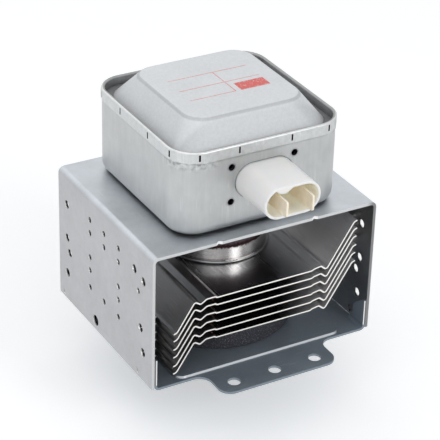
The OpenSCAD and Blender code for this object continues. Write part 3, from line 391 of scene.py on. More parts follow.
def moulded_plastic(name, colour, depth, share=0.6):
    """Plastic that a share of the light enters, to a depth in millimetres."""
    f = Finish(name, subsurface_weight=share, subsurface_scale=depth * MM, subsurface_radius=(1.0, 0.85, 0.65))
    cloud = f.noise(6)
    grain = f.noise(0.25)
    return f.done(f.shade(colour, 0.95 + cloud * 0.07 + grain * 0.03), 0.38 + grain * 0.12,
                  grain * 0.4 + cloud, depth=0.015, strength=0.3)


def tinned_metal(name, colour, metallic=1.0):
    f = Finish(name, metallic=metallic)
    cloud = f.noise(2.5, 3.0)
    draw = f.noise(0.25, 2.0, (1, 20, 1))
    return f.done(f.shade(colour, 0.8 + cloud * 0.3 + draw * 0.1), 0.25 + cloud * 0.2, draw, depth=0.01, strength=0.4)


def pressed_ferrite(colour):
    f = Finish("pressed_ferrite")
    fleck = f.cells(0.55).rise(0.42, 0.16)
    cloud = f.noise(3, 3.0)
    dust = f.noise(0.45, shift=6.0).rise(0.58, 0.68)
    return f.done(f.shade(colour, 0.5 + cloud * 0.7 + fleck * 1.2 + dust * 5.0), 0.5 + cloud * 0.2 - fleck * 0.1,
                  fleck * 0.4 + cloud + dust, depth=0.06, strength=0.6)


def anode_copper(colour, scraped, low, high):
    """Copper with a band scraped bright from low to a ragged line at high; above it the colour is near black, partly
    burnt oxide and partly painted shade under the magnet.
    """
    f = Finish("anode_copper", metallic=1.0)
    ragged = f.noise(0.5, 2.0, (1, 1, 3)) * 2.2 + f.noise(4, 1.0) * 1.2
    # Near black above the ragged line: partly burnt oxide, partly painted shade.
    burnt_and_shaded = (f.z + ragged).rise(high + 1.3, high + 2.1)
    band = f.z.rise(low - 0.4, low + 0.1)
    pits = f.noise(0.6, 3.0, (1, 1, 2), shift=2.0)
    ring = f.noise(0.3, 2.0, (30, 30, 1), shift=7.0)
    lower = f.mix(band, f.shade(colour, 0.55 + pits * 0.6), f.shade(scraped, 0.8 + ring * 0.3))
    haze = (f.z + ragged).rise(high + 2.4, high + 4.4)
    scorch_and_shade, film = (0.045, 0.02, 0.02), (0.15, 0.12, 0.135)
    upper = f.shade(f.mix(haze, scorch_and_shade, film), 0.3 + pits * 1.4)
    return f.done(f.mix(burnt_and_shaded, lower, upper), 0.18 + ring * 0.1 + burnt_and_shaded * 0.36,
                  pits * burnt_and_shaded * 2.0 + ring * 0.4, depth=0.05, strength=0.6)


def satin_metal(name, colour, rough, turned=2):
    """Turned or drawn metal with fine lines round the axis."""
    f = Finish(name, metallic=1.0)
    stretch = [20, 20, 20]
    stretch[turned] = 1
    lines = f.noise(0.3, 2.0, stretch)
    cloud = f.noise(5, 3.0)
    return f.done(f.shade(colour, 0.82 + lines * 0.16 + cloud * 0.18), rough - 0.06 + lines * 0.1 + cloud * 0.08,
                  lines, depth=0.015, strength=0.4)


def fired_ceramic(colour):
    f = Finish("fired_ceramic")
    cloud = f.noise(4, 3.0)
    pores = f.noise(0.25).rise(0.62, 0.74)
    return f.done(f.shade(colour, 0.93 + cloud * 0.12 - pores * 0.12), 0.42 + cloud * 0.16,
                  cloud - pores, depth=0.02, strength=0.4)


def glossy_coat(name, colour, rough):
    f = Finish(name, coat_weight=0.4, coat_roughness=0.15)
    cloud = f.noise(2, 3.0)
    return f.done(f.shade(colour, 0.75 + cloud * 0.5), rough + cloud * 0.15, cloud, depth=0.03, strength=0.4)


def chosen(context):
    """The colours and sizes that are set in the scene."""
    return context.scene.magnetron_colours, context.scene.magnetron_sizes


def link(name, data, *materials):
    """A new object of the scene with these materials."""
    for material in materials:
        data.materials.append(material)
    obj = bpy.data.objects.new(name, data)
    bpy.context.scene.collection.objects.link(obj)
    return obj


def bake(obj):
    """Turns the object's modifiers into plain mesh."""
    graph = bpy.context.evaluated_depsgraph_get()
    made = bpy.data.meshes.new_from_object(obj.evaluated_get(graph), preserve_all_data_layers=True, depsgraph=graph)
    obj.modifiers.clear()
    obj.data = made


def settle(obj, slot, *nodes):
    """The finished piece rides on the one body and stands for these nodes."""
    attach(obj, "root")
    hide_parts(*nodes)


def merged(node):
    """A copy of a CAD node's mesh with its loose triangles joined into flat faces."""
    bm = bmesh.new()
    bm.from_mesh(NODES[node].data)
    bmesh.ops.remove_doubles(bm, verts=bm.verts[:], dist=1e-6)
    bmesh.ops.dissolve_limit(bm, angle_limit=math.radians(0.5), verts=bm.verts[:], edges=bm.edges[:],
                             delimit={"NORMAL"})
    bm.normal_update()
    return bm


def level(obj):
    """Keeps large flat faces flat in the light, and lets bends and small roundings run smoothly between them."""
    normals = obj.modifiers.new("normals", "WEIGHTED_NORMAL")
    normals.weight = 90
    normals.keep_sharp = True
    bake(obj)


def sheet_piece(name, node, slot, kind, rounding, *finishes, change=None):
    """Copy of a sheet metal node with lightly rounded arrises; kind gives each face the number of its finish."""
    bm = merged(node)
    if change:
        change(bm)
    for face in bm.faces:
        face.smooth = True
        face.material_index = kind(face.normal, face.calc_center_median() / MM)
    obj = to_piece(name, bm, *finishes)
    bevel = obj.modifiers.new("arris", "BEVEL")
    bevel.width = rounding
    bevel.segments = 2
    bevel.limit_method = "ANGLE"
    bevel.angle_limit = math.radians(40)
    level(obj)
    settle(obj, slot, node)


def stations(centre, z, half_x, half_y, radius, sides, angles):
    """A rounded rectangle at height z, as points in order round it: sides holds the places along a straight side."""
    def corner(sx, sy, turn):
        return [(sx * (half_x - radius + radius * math.cos(math.radians(a))),
                 sy * (half_y - radius + radius * math.sin(math.radians(a)))) for a in turn]

    back = angles[::-1]
    plan = (corner(1, 1, angles) + [(x, half_y) for x in sides[::-1]] + corner(-1, 1, back)
            + [(-half_x, y) for y in sides[::-1]] + corner(-1, -1, angles) + [(x, -half_y) for x in sides]
            + corner(1, -1, back) + [(half_x, y) for y in sides])
    return [(centre[0] + x, centre[1] + y, z) for x, y in plan]


def loft(rows, leave_out=lambda row, column: False, close_first=False, close_last=False):
    """Faces between rows of points that each go once round."""
    bm = bmesh.new()
    made = [[bm.verts.new([c * MM for c in point]) for point in row] for row in rows]
    for i, (low, high) in enumerate(zip(made, made[1:])):
        for j in range(len(low)):
            k = (j + 1) % len(low)
            if not leave_out(i, j):
                bm.faces.new((low[j], low[k], high[k], high[j]))
    if close_first:
        bm.faces.new(made[0][::-1])
    if close_last:
        bm.faces.new(made[-1])
    for face in bm.faces:
        face.smooth = True
    bm.normal_update()
    return bm


def to_piece(name, bm, *materials):
    mesh = bpy.data.meshes.new(name)
    bm.to_mesh(mesh)
    bm.free()
    return link(name, mesh, *materials)


def thicken(obj, sheet):
    """Gives the surface a wall of sheet millimetres on its inner side."""
    wall = obj.modifiers.new("wall", "SOLIDIFY")
    wall.thickness = sheet * MM
    wall.offset = -1
    return wall


def sharpen(obj, degrees):
    obj.data.set_sharp_from_angle(angle=math.radians(degrees))
    return obj


class MAGNETRON_OT_yoke(bpy.types.Operator):
    """Folded steel yoke with bright holes and edges"""

    bl_idname = "magnetron.yoke"
    bl_label = "Yoke"

    def execute(self, context):
        tones, sizes = chosen(context)
        low, high = [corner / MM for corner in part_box("yoke_frame")]
        plated, front, hole, bright = range(4)

        def kind(n, at):
            if abs(n.y) > 0.9 and min(at.y - low.y, high.y - at.y) < 0.1:
                return front
            if abs(n.x) < 0.3 and at.z < high.z - 3:
                return hole
            return bright if abs(n.z) < 0.3 and abs(at.x) < high.x - 4 else plated

        # Painted shade on the front cut edges of the right wall.
        def right_wall_shade(f):
            return f.x.rise(high.x - 5, high.x - 1) * 0.6

        # Painted shade that darkens the hole walls deeper into the sheet.
        def hole_shade(f):
            return abs(f.x).rise(high.x - 0.35, high.x - 0.7) * 0.97

        sheet_piece("yoke_sheet", "yoke_frame", "zinc_steel", kind, sizes.edge_round, zinc_sheet(tones.zinc, high.z),
                    cut_edge("cut_edge", tones.edge, painted_shade=right_wall_shade),
                    cut_edge("hole_edge", tones.bright, painted_shade=hole_shade), cut_edge("bright_edge", tones.bright))
        return {"FINISHED"}


class MAGNETRON_OT_base(bpy.types.Operator):
    """Base plate with its two tabs, pan and ears"""

    bl_idname = "magnetron.base"
    bl_label = "Base plate"

    sheet, bend = 1.0, 2.4
    # Where the plate ends between the ears, how far a strip goes on to the wall, and its share of the length
    plate, to_wall, narrower = 44.55, 1.95, 0.985

    def execute(self, context):
        tones, sizes = chosen(context)
        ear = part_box("base_plate")[1].x / MM
        plated, edge, ear_edge, step = range(4)

        def change(bm):
            """Lets the plate reach the walls between the ears, and parts the ears from it at their bend."""
            for face in bm.faces[:]:
                x, y, z = face.calc_center_median() / MM
                if abs(face.normal.x) > 0.99 and abs(y) < 1 and z < self.sheet and abs(x) > self.plate - 0.1:
                    new = bmesh.ops.extrude_discrete_faces(bm, faces=[face])["faces"][0]
                    for v in new.verts:
                        v.co.x += math.copysign(self.to_wall * MM, x)
                        v.co.y *= self.narrower
            bm.normal_update()
            bmesh.ops.bisect_plane(bm, geom=bm.verts[:] + bm.edges[:] + bm.faces[:], dist=1e-6,
                                   plane_co=(0, 0, self.bend * MM), plane_no=(0, 0, 1))

        def kind(n, at):
            if at.z > self.bend:
                return ear_edge if abs(n.y) > 0.8 else plated
            # The sloping faces of the pan step get the painted highlight.
            if at.z > self.sheet and 0.1 < n.z < 0.9 and abs(at.x) < self.plate - 1:
                return step
            return edge if abs(n.z) < 0.1 else plated

        # Painted shade on the part of each ear's cut edge next to the wall.
        def ear_wall_shade(f):
            return abs(f.x).rise(ear - 0.65, ear - 0.45) * 0.8

        sheet_piece("base_sheet", "base_plate", "base_steel", kind, sizes.thin_round, base_sheet(tones.base),
                    cut_edge("base_edge", [0.8 * c for c in tones.base], 0.6),
                    cut_edge("ear_edge", tones.bright, painted_shade=ear_wall_shade),
                    cut_edge("pan_step", tones.step), change=change)
        return {"FINISHED"}


class Tree(Graph):
    """A Geometry Nodes tree with named inputs."""

    def __init__(self, name, **inputs):
        self.tree = bpy.data.node_groups.new(name, "GeometryNodeTree")
        face = self.tree.interface
        face.new_socket("Geometry", in_out="OUTPUT", socket_type="NodeSocketGeometry")
        face.new_socket("Geometry", in_out="INPUT", socket_type="NodeSocketGeometry")
        self.names = {}
        for key, kind in inputs.items():
            label = key.replace("_", " ").capitalize()
            self.names[key] = face.new_socket(label, in_out="INPUT", socket_type="NodeSocket" + kind).identifier
        self.start = self.tree.nodes.new("NodeGroupInput")
        self.geometry = Value(self, self.start.outputs[0])

    def input(self, key):
        return next(Value(self, s) for s in self.start.outputs if s.identifier == self.names[key])

    def run(self, obj, **values):
        """Runs the tree on the object with these input values and leaves plain mesh."""
        modifier = obj.modifiers.new(self.tree.name, "NODES")
        modifier.node_group = self.tree
        for key, value in values.items():
            modifier[self.names[key]] = value
        bake(obj)


def fin_tree():
    """Stacks one fin upwards, a little uneven, with bright front and back edges."""
    t = Tree("fin_stack", fins="Int", pitch="Float", wander="Float", tilt="Float", sheet="Material", edge="Material")

    def spread(key, seed):
        return t.node("FunctionNodeRandomValue", {"data_type": "FLOAT"},
                      {2: t.input(key) * -1.0, 3: t.input(key), "Seed": seed}, out=1)

    def over(value, limit):
        return t.node("FunctionNodeCompare", {"operation": "GREATER_THAN"}, {0: value, 1: limit})

    height = t.node("GeometryNodeInputIndex") * t.input("pitch") + spread("wander", 3)
    spots = t.node("GeometryNodePoints", inputs={
        "Count": t.input("fins"), "Position": t.node("ShaderNodeCombineXYZ", inputs={"Z": height})})
    turn = t.node("ShaderNodeCombineXYZ", inputs={"Y": spread("tilt", 4)})
    stack = t.node("GeometryNodeInstanceOnPoints", inputs={
        "Points": spots, "Instance": t.geometry, "Rotation": turn})
    real = t.node("GeometryNodeRealizeInstances", inputs={0: stack})
    normal = t.node("GeometryNodeInputNormal")
    is_edge = over(abs(t.node("ShaderNodeSeparateXYZ", inputs={0: normal}, out=1)), 0.95)
    crease = over(t.node("GeometryNodeInputMeshEdgeAngle"), math.radians(35))
    soft = t.node("GeometryNodeSetShadeSmooth", {"domain": "FACE"}, {0: real, 2: True})
    soft = t.node("GeometryNodeSetShadeSmooth", {"domain": "EDGE"}, {0: soft, 1: crease, 2: False})
    whole = t.node("GeometryNodeSetMaterial", inputs={0: soft, 2: t.input("sheet")})
    edged = t.node("GeometryNodeSetMaterial", inputs={0: whole, 1: is_edge, 2: t.input("edge")})
    t.end("NodeGroupOutput", edged)
    return t


class MAGNETRON_OT_fins(bpy.types.Operator):
    """Stack of folded cooling fins"""

    bl_idname = "magnetron.fins"
    bl_label = "Cooling fins"

    def execute(self, context):
        tones, sizes = chosen(context)
        obj = to_piece("fin_stack", merged("cooling_fin_1"))
        fin_tree().run(obj, fins=FIN_COUNT, pitch=FIN_PITCH, wander=sizes.fin_wander, tilt=sizes.fin_tilt,
                       sheet=fin_sheet(tones.fin), edge=cut_edge("fin_edge", tones.fin_edge))
        level(obj)
        settle(obj, "fin_aluminium", *(f"cooling_fin_{i + 1}" for i in range(FIN_COUNT)))
        return {"FINISHED"}


class MAGNETRON_OT_box(bpy.types.Operator):
    """Drawn filter box with a slit and crimped rim"""

    bl_idname = "magnetron.box"
    bl_label = "Filter box"

    radius = 11.0
    bottom_radius = 4.5
    rim_height = 4.7
    rim_out = 0.4
    hem, hem_radius = 1.6, 0.7
    sheet = 0.6
    slit_low = 1.2
    slit_high = 3.8
    slit_half = 0.35
    slits = (11.0, 27.0)
    bosses = (-13.9, 12.5)
    boss_rise, boss_radius = 7.1, 1.8
    passage = (24.8, 14.6)
    # Rows of points: on the floor in from the wall, heights up the wall, and along a side between its slits
    floor_rows = (-18, -10)
    wall_rows = (66, 72, 77, 81, 84, 86)
    side_rows = (-6, -2, 2, 6)
    # Where the draw wrinkles end, below the rim and below the top
    fold_low, fold_high = 3, 1.2

    def execute(self, context):
        tones, sizes = chosen(context)
        centre = BOX_MIDDLE
        half = [(b - a) / 2 - self.rim_out for a, b in zip(BOX_LOW[:2], BOX_HIGH[:2])]
        low, top = BOX_LOW[2], BOX_HIGH[2]
        rim = top - self.rim_height
        s, (near, far) = self.slit_half, self.slits
        sides = [-near - s, -near + s, *self.side_rows, near - s, near + s]
        straight = [h - self.radius for h in half]
        along_x = [math.degrees(math.asin((far + e - straight[1]) / self.radius)) for e in (-s, s)]
        along_y = [math.degrees(math.acos((far + e - straight[0]) / self.radius)) for e in (s, -s)]
        steps = [along_x[1] + (along_y[0] - along_x[1]) * i / 10 for i in range(1, 10)]
        angles = [0, along_x[0] / 2, *along_x, *steps, *along_y, (along_y[1] + 90) / 2, 90]

        # The wall's section from the floor to the rim's inner edge, as distance out from the wall and height
        profile = [(out, low) for out in self.floor_rows]
        profile += [(self.bottom_radius * (math.sin(a) - 1), low + self.bottom_radius * (1 - math.cos(a)))
                    for a in map(math.radians, range(0, 91, 15))]
        profile += [(0, z) for z in (*self.wall_rows, rim - 0.9)]
        profile += [(0.02, rim - 0.25), (0.16, rim - 0.02), (self.rim_out - 0.05, rim + 0.12)]
        slit_row = len(profile) + 1
        profile += [(self.rim_out, rim + up) for up in (0.5, self.slit_low, self.slit_high)]
        fold = [math.radians(a) for a in range(0, 91, 18)]
        r, inner = self.hem_radius, self.rim_out - self.hem
        profile += [(self.rim_out - r + r * math.cos(a), top - r + r * math.sin(a)) for a in fold]
        hem_row = len(profile) - 1
        profile += [(inner + r - r * math.cos(a), top - r + r * math.sin(a)) for a in fold[::-1]]
        profile += [(inner, LID_LOW[2] + self.sheet + 0.1)]
        rows = [stations(centre, z, half[0] + out, half[1] + out, max(1, self.radius + out), sides, angles)
                for out, z in profile]
        per_side, per_turn = len(sides), len(angles)
        slit_at = set()
        for turn in range(4):
            first = turn * (per_side + per_turn)
            slit_at |= {first + 2, first + per_turn - 4, first + per_turn, first + per_turn + per_side - 2}
        if len(rows[0]) != 4 * (per_side + per_turn):
            raise RuntimeError("the plan of the box has another number of points than its slits expect")

        def is_slit(row, column):
            return row == slit_row and column in slit_at

        bm = loft(rows, is_slit)
        bm.faces.ensure_lookup_table()
        hem_faces = (len(rows) - 1 - hem_row) * len(rows[0])
        for face in bm.faces[-hem_faces:]:
            face.material_index = 2
        self.wrinkle(bm, centre, straight, rim, top, sizes.wrinkle)
        # Slots: the wall and its back, the hem and its back; both backs are near black sheet as painted shade inside
        # the box and behind the slits, and the hem is darkened as painted shade in the channel by the lid
        shade_inside = drawn_sheet("box_inside_shade", [0.06 * c for c in tones.box], low, rim, top)
        obj = to_piece("box_sheet", bm, drawn_sheet("drawn_sheet", tones.box, low, rim, top), shade_inside,
                       drawn_sheet("rim_inside_shade", [0.55 * c for c in tones.box], low, rim, top), shade_inside)
        wall = thicken(obj, self.sheet)
        wall.use_even_offset = True
        wall.material_offset = wall.material_offset_rim = 1
        bake(obj)
        cutter = self.holes()
        cut = obj.modifiers.new("holes", "BOOLEAN")
        cut.object = cutter
        cut.solver = "EXACT"
        bake(obj)
        bpy.data.objects.remove(cutter)
        sharpen(obj, 40)
        settle(obj, "box_metal", "filter_box")
        return {"FINISHED"}

    def wrinkle(self, bm, centre, straight, rim, top, depth):
        """Shallow upright folds round the corners under and in the rim, where the sheet was drawn in."""
        for v in bm.verts:
            x, y, z = v.co / MM
            dx, dy = abs(x - centre[0]) - straight[0], abs(y - centre[1]) - straight[1]
            outward = v.normal.x * (x - centre[0]) + v.normal.y * (y - centre[1])
            if dx <= 0 or dy <= 0 or z < rim - self.fold_low or outward < 0:
                continue
            angle = math.atan2(dy, dx)
            fade = math.sin(2 * angle) * min(1, (z - rim + self.fold_low) / self.fold_low)
            fade *= min(1, (top - z) / self.fold_high)
            side = 1.7 * (x > centre[0]) + 0.9 * (y > centre[1])
            fold = math.sin(15 * angle + side) + 0.6 * math.sin(27 * angle + 2 * side)
            v.co += v.normal * (depth * fade * fold - depth * fade)

    def holes(self):
        """Cutter for the four stake holes and the neck of the connector in the front wall."""
        middle, front, height = BOX_MIDDLE[0], BOX_LOW[1], SHELL_MIDDLE[2]
        rows = [[(middle + x, y, height + z) for x, z in obround(*self.passage, 20)]
                for y in (front - 1.5, front + 2.5)]
        bm = loft(rows, close_first=True, close_last=True)
        bmesh.ops.recalc_face_normals(bm, faces=bm.faces[:])
        radius = self.boss_radius * MM
        for x in self.bosses:
            for z in (-self.boss_rise, self.boss_rise):
                place = Matrix.Translation(Vector((middle + x, front + 0.5, height + z)) * MM)
                bmesh.ops.create_cone(bm, cap_ends=True, segments=40, radius1=radius, radius2=radius,
                                      depth=4 * MM, matrix=place @ Matrix.Rotation(math.pi / 2, 4, "X"))
        return to_piece("cutter", bm)


def obround(width, height, steps):
    """Plan of a slot shape: two half circles joined by straight lines, each with a few points along it."""
    r, straight = height / 2, (width - height) / 2
    turn = [math.pi * i / steps - math.pi / 2 for i in range(steps + 1)]
    right = [(straight + r * math.cos(a), r * math.sin(a)) for a in turn]
    right += [(straight * share, r) for share in (0.7, 0.4, 0, -0.4, -0.5, -0.6, -0.7, -0.8, -0.9)]
    return right + [(-x, -z) for x, z in right]


class MAGNETRON_OT_lid(bpy.types.Operator):
    """Stamped lid with sloping sides and a soft edge round its flat top"""

    bl_idname = "magnetron.lid"
    bl_label = "Lid"

    flat_half, flat_radius, edge = 23.0, 7.0, 1.8
    foot_half, foot_radius = 32.0, 10.0
    deeper = 0.5
    sheet, fillet = 0.6, 1.0
    brim_radius = 10.75
    # Points along a straight side, and half width and corner radius of the rows on the flat top
    sides = [-11.35, -10.65, -6, -2, 2, 6, 10.65, 11.35]
    top_rows = ((22, 6.5), (18, 4), (14, 2))

    def execute(self, context):
        tones = context.scene.magnetron_colours
        centre = LID_MIDDLE
        half = [(b - a) / 2 for a, b in zip(LID_LOW[:2], LID_HIGH[:2])]
        seat, top = LID_LOW[2], LID_HIGH[2]
        brim = seat + self.sheet
        angles = [90 * i / 16 for i in range(17)]

        # The slope runs from the foot to the point where it touches the edge's arc
        arc = (self.flat_half, top - self.edge)
        reach = (self.foot_half - arc[0], seat - arc[1])
        touch = math.atan2(reach[1], reach[0]) + math.acos(self.edge / math.hypot(*reach))
        head = (arc[0] + self.edge * math.cos(touch), arc[1] + self.edge * math.sin(touch))
        slope = math.atan2(head[1] - seat, self.foot_half - head[0])
        run = self.fillet * math.tan(slope / 2)
        foot = self.foot_half - (brim - seat) / math.tan(slope)

        def part(share):
            """Half width, half depth, corner radius and height at a share of the slope."""
            radius = self.foot_radius + (self.flat_radius + self.edge * math.cos(touch) - self.foot_radius) * share
            out = self.foot_half + (head[0] - self.foot_half) * share
            return out, out + self.deeper * (1 - share), radius, seat + (head[1] - seat) * share

        start = foot + run + 0.4
        rows = [(*half, self.brim_radius, brim), (start, start + self.deeper, self.foot_radius + 0.2, brim)]
        for i in range(5):
            a = slope * i / 4
            out = foot + run - self.fillet * math.sin(a)
            rows.append((out, out + self.deeper, self.foot_radius, brim + self.fillet * (1 - math.cos(a))))
        first = (rows[-1][3] - seat) / (head[1] - seat)
        rows += [part(first + (1 - first) * i / 7) for i in range(1, 8)]
        for i in range(1, 9):
            a = touch + (math.pi / 2 - touch) * i / 8
            out = self.flat_half + self.edge * math.cos(a)
            rows.append((out, out, self.flat_radius + self.edge * math.cos(a), arc[1] + self.edge * math.sin(a)))
        rows += [(h, h, radius, top) for h, radius in self.top_rows]
        points = [stations(centre, z, a, b, r, self.sides, angles) for a, b, r, z in rows]
        obj = to_piece("lid_sheet", loft(points, close_last=True), lid_sheet(tones.lid, tones.ink, centre, seat, top))
        thicken(obj, self.sheet)
        bake(obj)
        sharpen(obj, 50)
        settle(obj, "lid_metal", "filter_lid")
        return {"FINISHED"}


class MAGNETRON_OT_connector(bpy.types.Operator):
    """Moulded connector shell with its two terminal tabs"""

    bl_idname = "magnetron.connector"
    bl_label = "Connector"

    neck = (21.6, 11.6)
    body = (24.0, 13.8)
    mouth = (23.5, 12.8)
    wall = 1.1
    depth = 12.8
    soft, chamfer = 0.35, 0.3
    sunk = 0.5
    rib, rib_half, rib_drop, rib_length = -3.9, 2.8, 1.8, 4.0

    def ribbed(self, x, y, z):
        """The point moved down where the rib under the top lip is, over the left terminal."""
        across = 1 - ((x - self.rib) / self.rib_half) ** 2
        return (x, y, z - self.rib_drop * math.sqrt(across)) if z > 0 and across > 0 else (x, y, z)

    def execute(self, context):
        tones, sizes = chosen(context)
        middle = SHELL_MIDDLE[::2]
        mouth_y, back_y, box_y = SHELL_LOW[1], SHELL_HIGH[1], BOX_LOW[1] + MAGNETRON_OT_box.rim_out
        (mw, mh), s = self.mouth, self.soft
        iw, ih, floor = mw - 2 * self.wall, mh - 2 * self.wall, mouth_y + self.depth
        root = box_y + self.sunk
        rows = [(*self.neck, back_y), (*self.neck, root), (*(size - self.chamfer for size in self.body), root),
                (*self.body, root - self.chamfer / 2), (*self.body, box_y)]
        length = box_y - mouth_y - s
        for i in range(1, 7):
            share = i / 6
            rows.append((*(a + (b - a) * share for a, b in zip(self.body, self.mouth)), box_y - length * share))
        for i in range(1, 5):
            a = math.pi / 2 * i / 4
            less = 2 * s * (1 - math.cos(a))
            rows.append((mw - less, mh - less, mouth_y + s - s * math.sin(a)))
        rib_from = len(rows)
        for i in range(5):
            a = math.pi / 2 * i / 4
            more = 2 * s * (1 - math.sin(a))
            rows.append((iw + more, ih + more, mouth_y + s * (1 - math.cos(a))))
        rows += [(iw, ih, mouth_y + self.rib_length)]
        rib_to = len(rows)
        rows += [(iw, ih, mouth_y + self.rib_length + 0.5), (iw, ih, floor - 0.6),
                 (iw - 0.3, ih - 0.3, floor - 0.15), (iw - 1.2, ih - 1.2, floor)]
        points = []
        for i, (w, h, y) in enumerate(rows):
            ring = [(x, y, z) for x, z in obround(w, h, 24)]
            if rib_from <= i < rib_to:
                ring = [self.ribbed(*point) for point in ring]
            points.append([(middle[0] + x, y, middle[1] + z) for x, y, z in ring])
        bm = loft(points, close_first=True, close_last=True)
        bmesh.ops.recalc_face_normals(bm, faces=bm.faces[:])
        for face in bm.faces:
            x, y, z = face.calc_center_median() / MM
            inward = face.normal.x * (x - middle[0]) + face.normal.z * (z - middle[1])
            # Faces inside the socket take the second finish, whose colour is painted light.
            face.material_index = int(mouth_y + 0.5 < y <= floor + 0.01 and (inward < 0 or y > floor - 0.5))
        obj = to_piece("connector_body", bm, moulded_plastic("moulded_plastic", tones.plastic, depth=2.0),
                       moulded_plastic("socket_plastic_lit", tones.lit_cavity, depth=4.0, share=0.9))
        settle(sharpen(obj, 40), "connector_plastic", "connector_shell")
        metal = tinned_metal("tinned_metal", tones.tinned, 0.35)
        for side in ("left", "right"):
            sheet_piece(f"terminal_{side}", f"terminal_tab_{side}", "terminal_metal", lambda n, at: 0,
                        sizes.thin_round, metal)
        return {"FINISHED"}


def braid_tree():
    """Strands that wind round a ring both ways, as a knitted wire gasket does."""
    t = Tree("gasket_braid", strands="Int", turns="Int", ring="Float", half_width="Float", half_height="Float",
             height="Float", wire="Float", material="Material")
    steps, weaves, sides = 12.0, 3.0, 4
    strands, turns, wire = t.input("strands"), t.input("turns"), t.input("wire")
    circle = t.node("GeometryNodeCurvePrimitiveCircle", inputs={"Resolution": turns * steps, "Radius": 1.0})
    both = t.tree.nodes.new("GeometryNodeJoinGeometry")
    for way in (1.0, -1.0):
        copies = t.node("GeometryNodeDuplicateElements", {"domain": "SPLINE"},
                        {"Geometry": circle, "Amount": strands})
        number = Value(t, copies.socket.node.outputs["Duplicate Index"])
        angle = t.node("GeometryNodeSplineParameter") * math.tau
        wind = (angle * turns + number * math.tau / strands) * way
        weave = (wind * weaves).sin() * wire * way
        radius = t.input("ring") + (t.input("half_width") + weave) * wind.cos()
        height = t.input("height") + (t.input("half_height") + weave) * wind.sin()
        place = t.node("ShaderNodeCombineXYZ", inputs={0: radius * angle.cos(), 1: radius * angle.sin(), 2: height})
        t.feed(both.inputs[0], t.node("GeometryNodeSetPosition", inputs={"Geometry": copies, "Position": place}))
    section = t.node("GeometryNodeCurvePrimitiveCircle", inputs={"Resolution": sides, "Radius": wire})
    tube = t.node("GeometryNodeCurveToMesh", inputs={0: Value(t, both.outputs[0]), 1: section})
    real = t.node("GeometryNodeRealizeInstances", inputs={0: tube})
    smooth = t.node("GeometryNodeSetShadeSmooth", {"domain": "FACE"}, {0: real, 2: True})
    t.end("NodeGroupOutput", t.node("GeometryNodeSetMaterial", inputs={0: smooth, 2: t.input("material")}))
    return t


class MAGNETRON_OT_gasket(bpy.types.Operator):
    """Knitted wire gasket ring under the base plate"""

    bl_idname = "magnetron.gasket"
    bl_label = "Mesh gasket"

    inner = 11.0
    core_sides, core_steps = 16, 72

    def execute(self, context):
        sizes = context.scene.magnetron_sizes
        outer = GASKET_HIGH[0]
        wire = sizes.braid_wire / MM
        ring, wide = (outer + self.inner) / 2, (outer - self.inner) / 2 - 2 * wire
        height = GASKET_MIDDLE[2]
        tall = (GASKET_HIGH[2] - GASKET_LOW[2]) / 2 - 2 * wire
        rows = []
        for b in (math.tau * j / self.core_steps for j in range(self.core_steps)):
            row = []
            for a in (math.tau * i / self.core_sides for i in range(self.core_sides)):
                out = ring + (wide - wire) * math.cos(a)
                row.append((out * math.cos(b), out * math.sin(b), height + (tall - wire) * math.sin(a)))
            rows.append(row)
        bm = loft([*rows, rows[0]])
        bmesh.ops.remove_doubles(bm, verts=bm.verts[:], dist=1e-7)
        bmesh.ops.recalc_face_normals(bm, faces=bm.faces[:])
        # The dark core is painted shade deep in the knit, between the strands.
        core = to_piece("gasket_core", bm, satin_metal("gasket_core_shade", (0.1, 0.095, 0.09), 0.6))
        settle(core, "gasket_mesh", "rf_gasket")
        braid = link("gasket_braid", bpy.data.meshes.new("gasket_braid"))
        braid_tree().run(braid, strands=sizes.braid_strands, turns=sizes.braid_turns, ring=ring * MM,
                         half_width=wide * MM, half_height=tall * MM, height=height * MM, wire=sizes.braid_wire,
                         material=tinned_metal("gasket_wire", (0.6, 0.57, 0.52)))
        settle(braid, "gasket_mesh", "rf_gasket")
        return {"FINISHED"}


class MAGNETRON_OT_tube(bpy.types.Operator):
    """Finishes of the tube, the magnets and the filter parts, which keep their CAD shapes"""

    bl_idname = "magnetron.tube"
    bl_label = "Tube and filter"

    def execute(self, context):
        tones = context.scene.magnetron_colours
        finishes = {
            anode_copper(tones.copper, tones.scraped, COLLAR_TOP, COLLAR_TOP + SCRAPED_HEIGHT): ["anode_cylinder"],
            satin_metal("plain_copper", tones.copper, 0.3): ["anode_vanes", "strap_rings", "antenna_rod",
                                                             "exhaust_tube"],
            pressed_ferrite(tones.ferrite): ["lower_magnet", "upper_magnet", "choke_core_left", "choke_core_right"],
            satin_metal("pole_steel", (0.4, 0.41, 0.42), 0.35): ["lower_pole_piece", "upper_pole_piece"],
            satin_metal("cup_steel", (0.58, 0.57, 0.54), 0.28): ["lower_seal_cup", "upper_seal_cup", "antenna_cap"],
            satin_metal("cathode_metal", (0.17, 0.155, 0.14), 0.55): ["filament", "lower_end_hat", "upper_end_hat",
                                                                      "cathode_rods"],
            fired_ceramic(tones.alumina): ["stem_ceramic", "antenna_ceramic"],
            bpy.data.materials["tinned_metal"]: ["stem_terminals"],
            satin_metal("rivet_steel", (0.45, 0.46, 0.46), 0.3): ["box_rivets"],
            satin_metal("flange_steel", (0.4, 0.41, 0.42), 0.35, 1): ["capacitor_flange"],
            glossy_coat("cast_resin", tones.resin, 0.35): ["capacitor_block"],
            glossy_coat("enamelled_wire", tones.enamel, 0.25): ["choke_coil_left", "choke_coil_right"],
        }
        for finish, nodes in finishes.items():
            for node in nodes:
                mesh = NODES[node].data
                mesh.materials.clear()
                mesh.materials.append(finish)
        return {"FINISHED"}


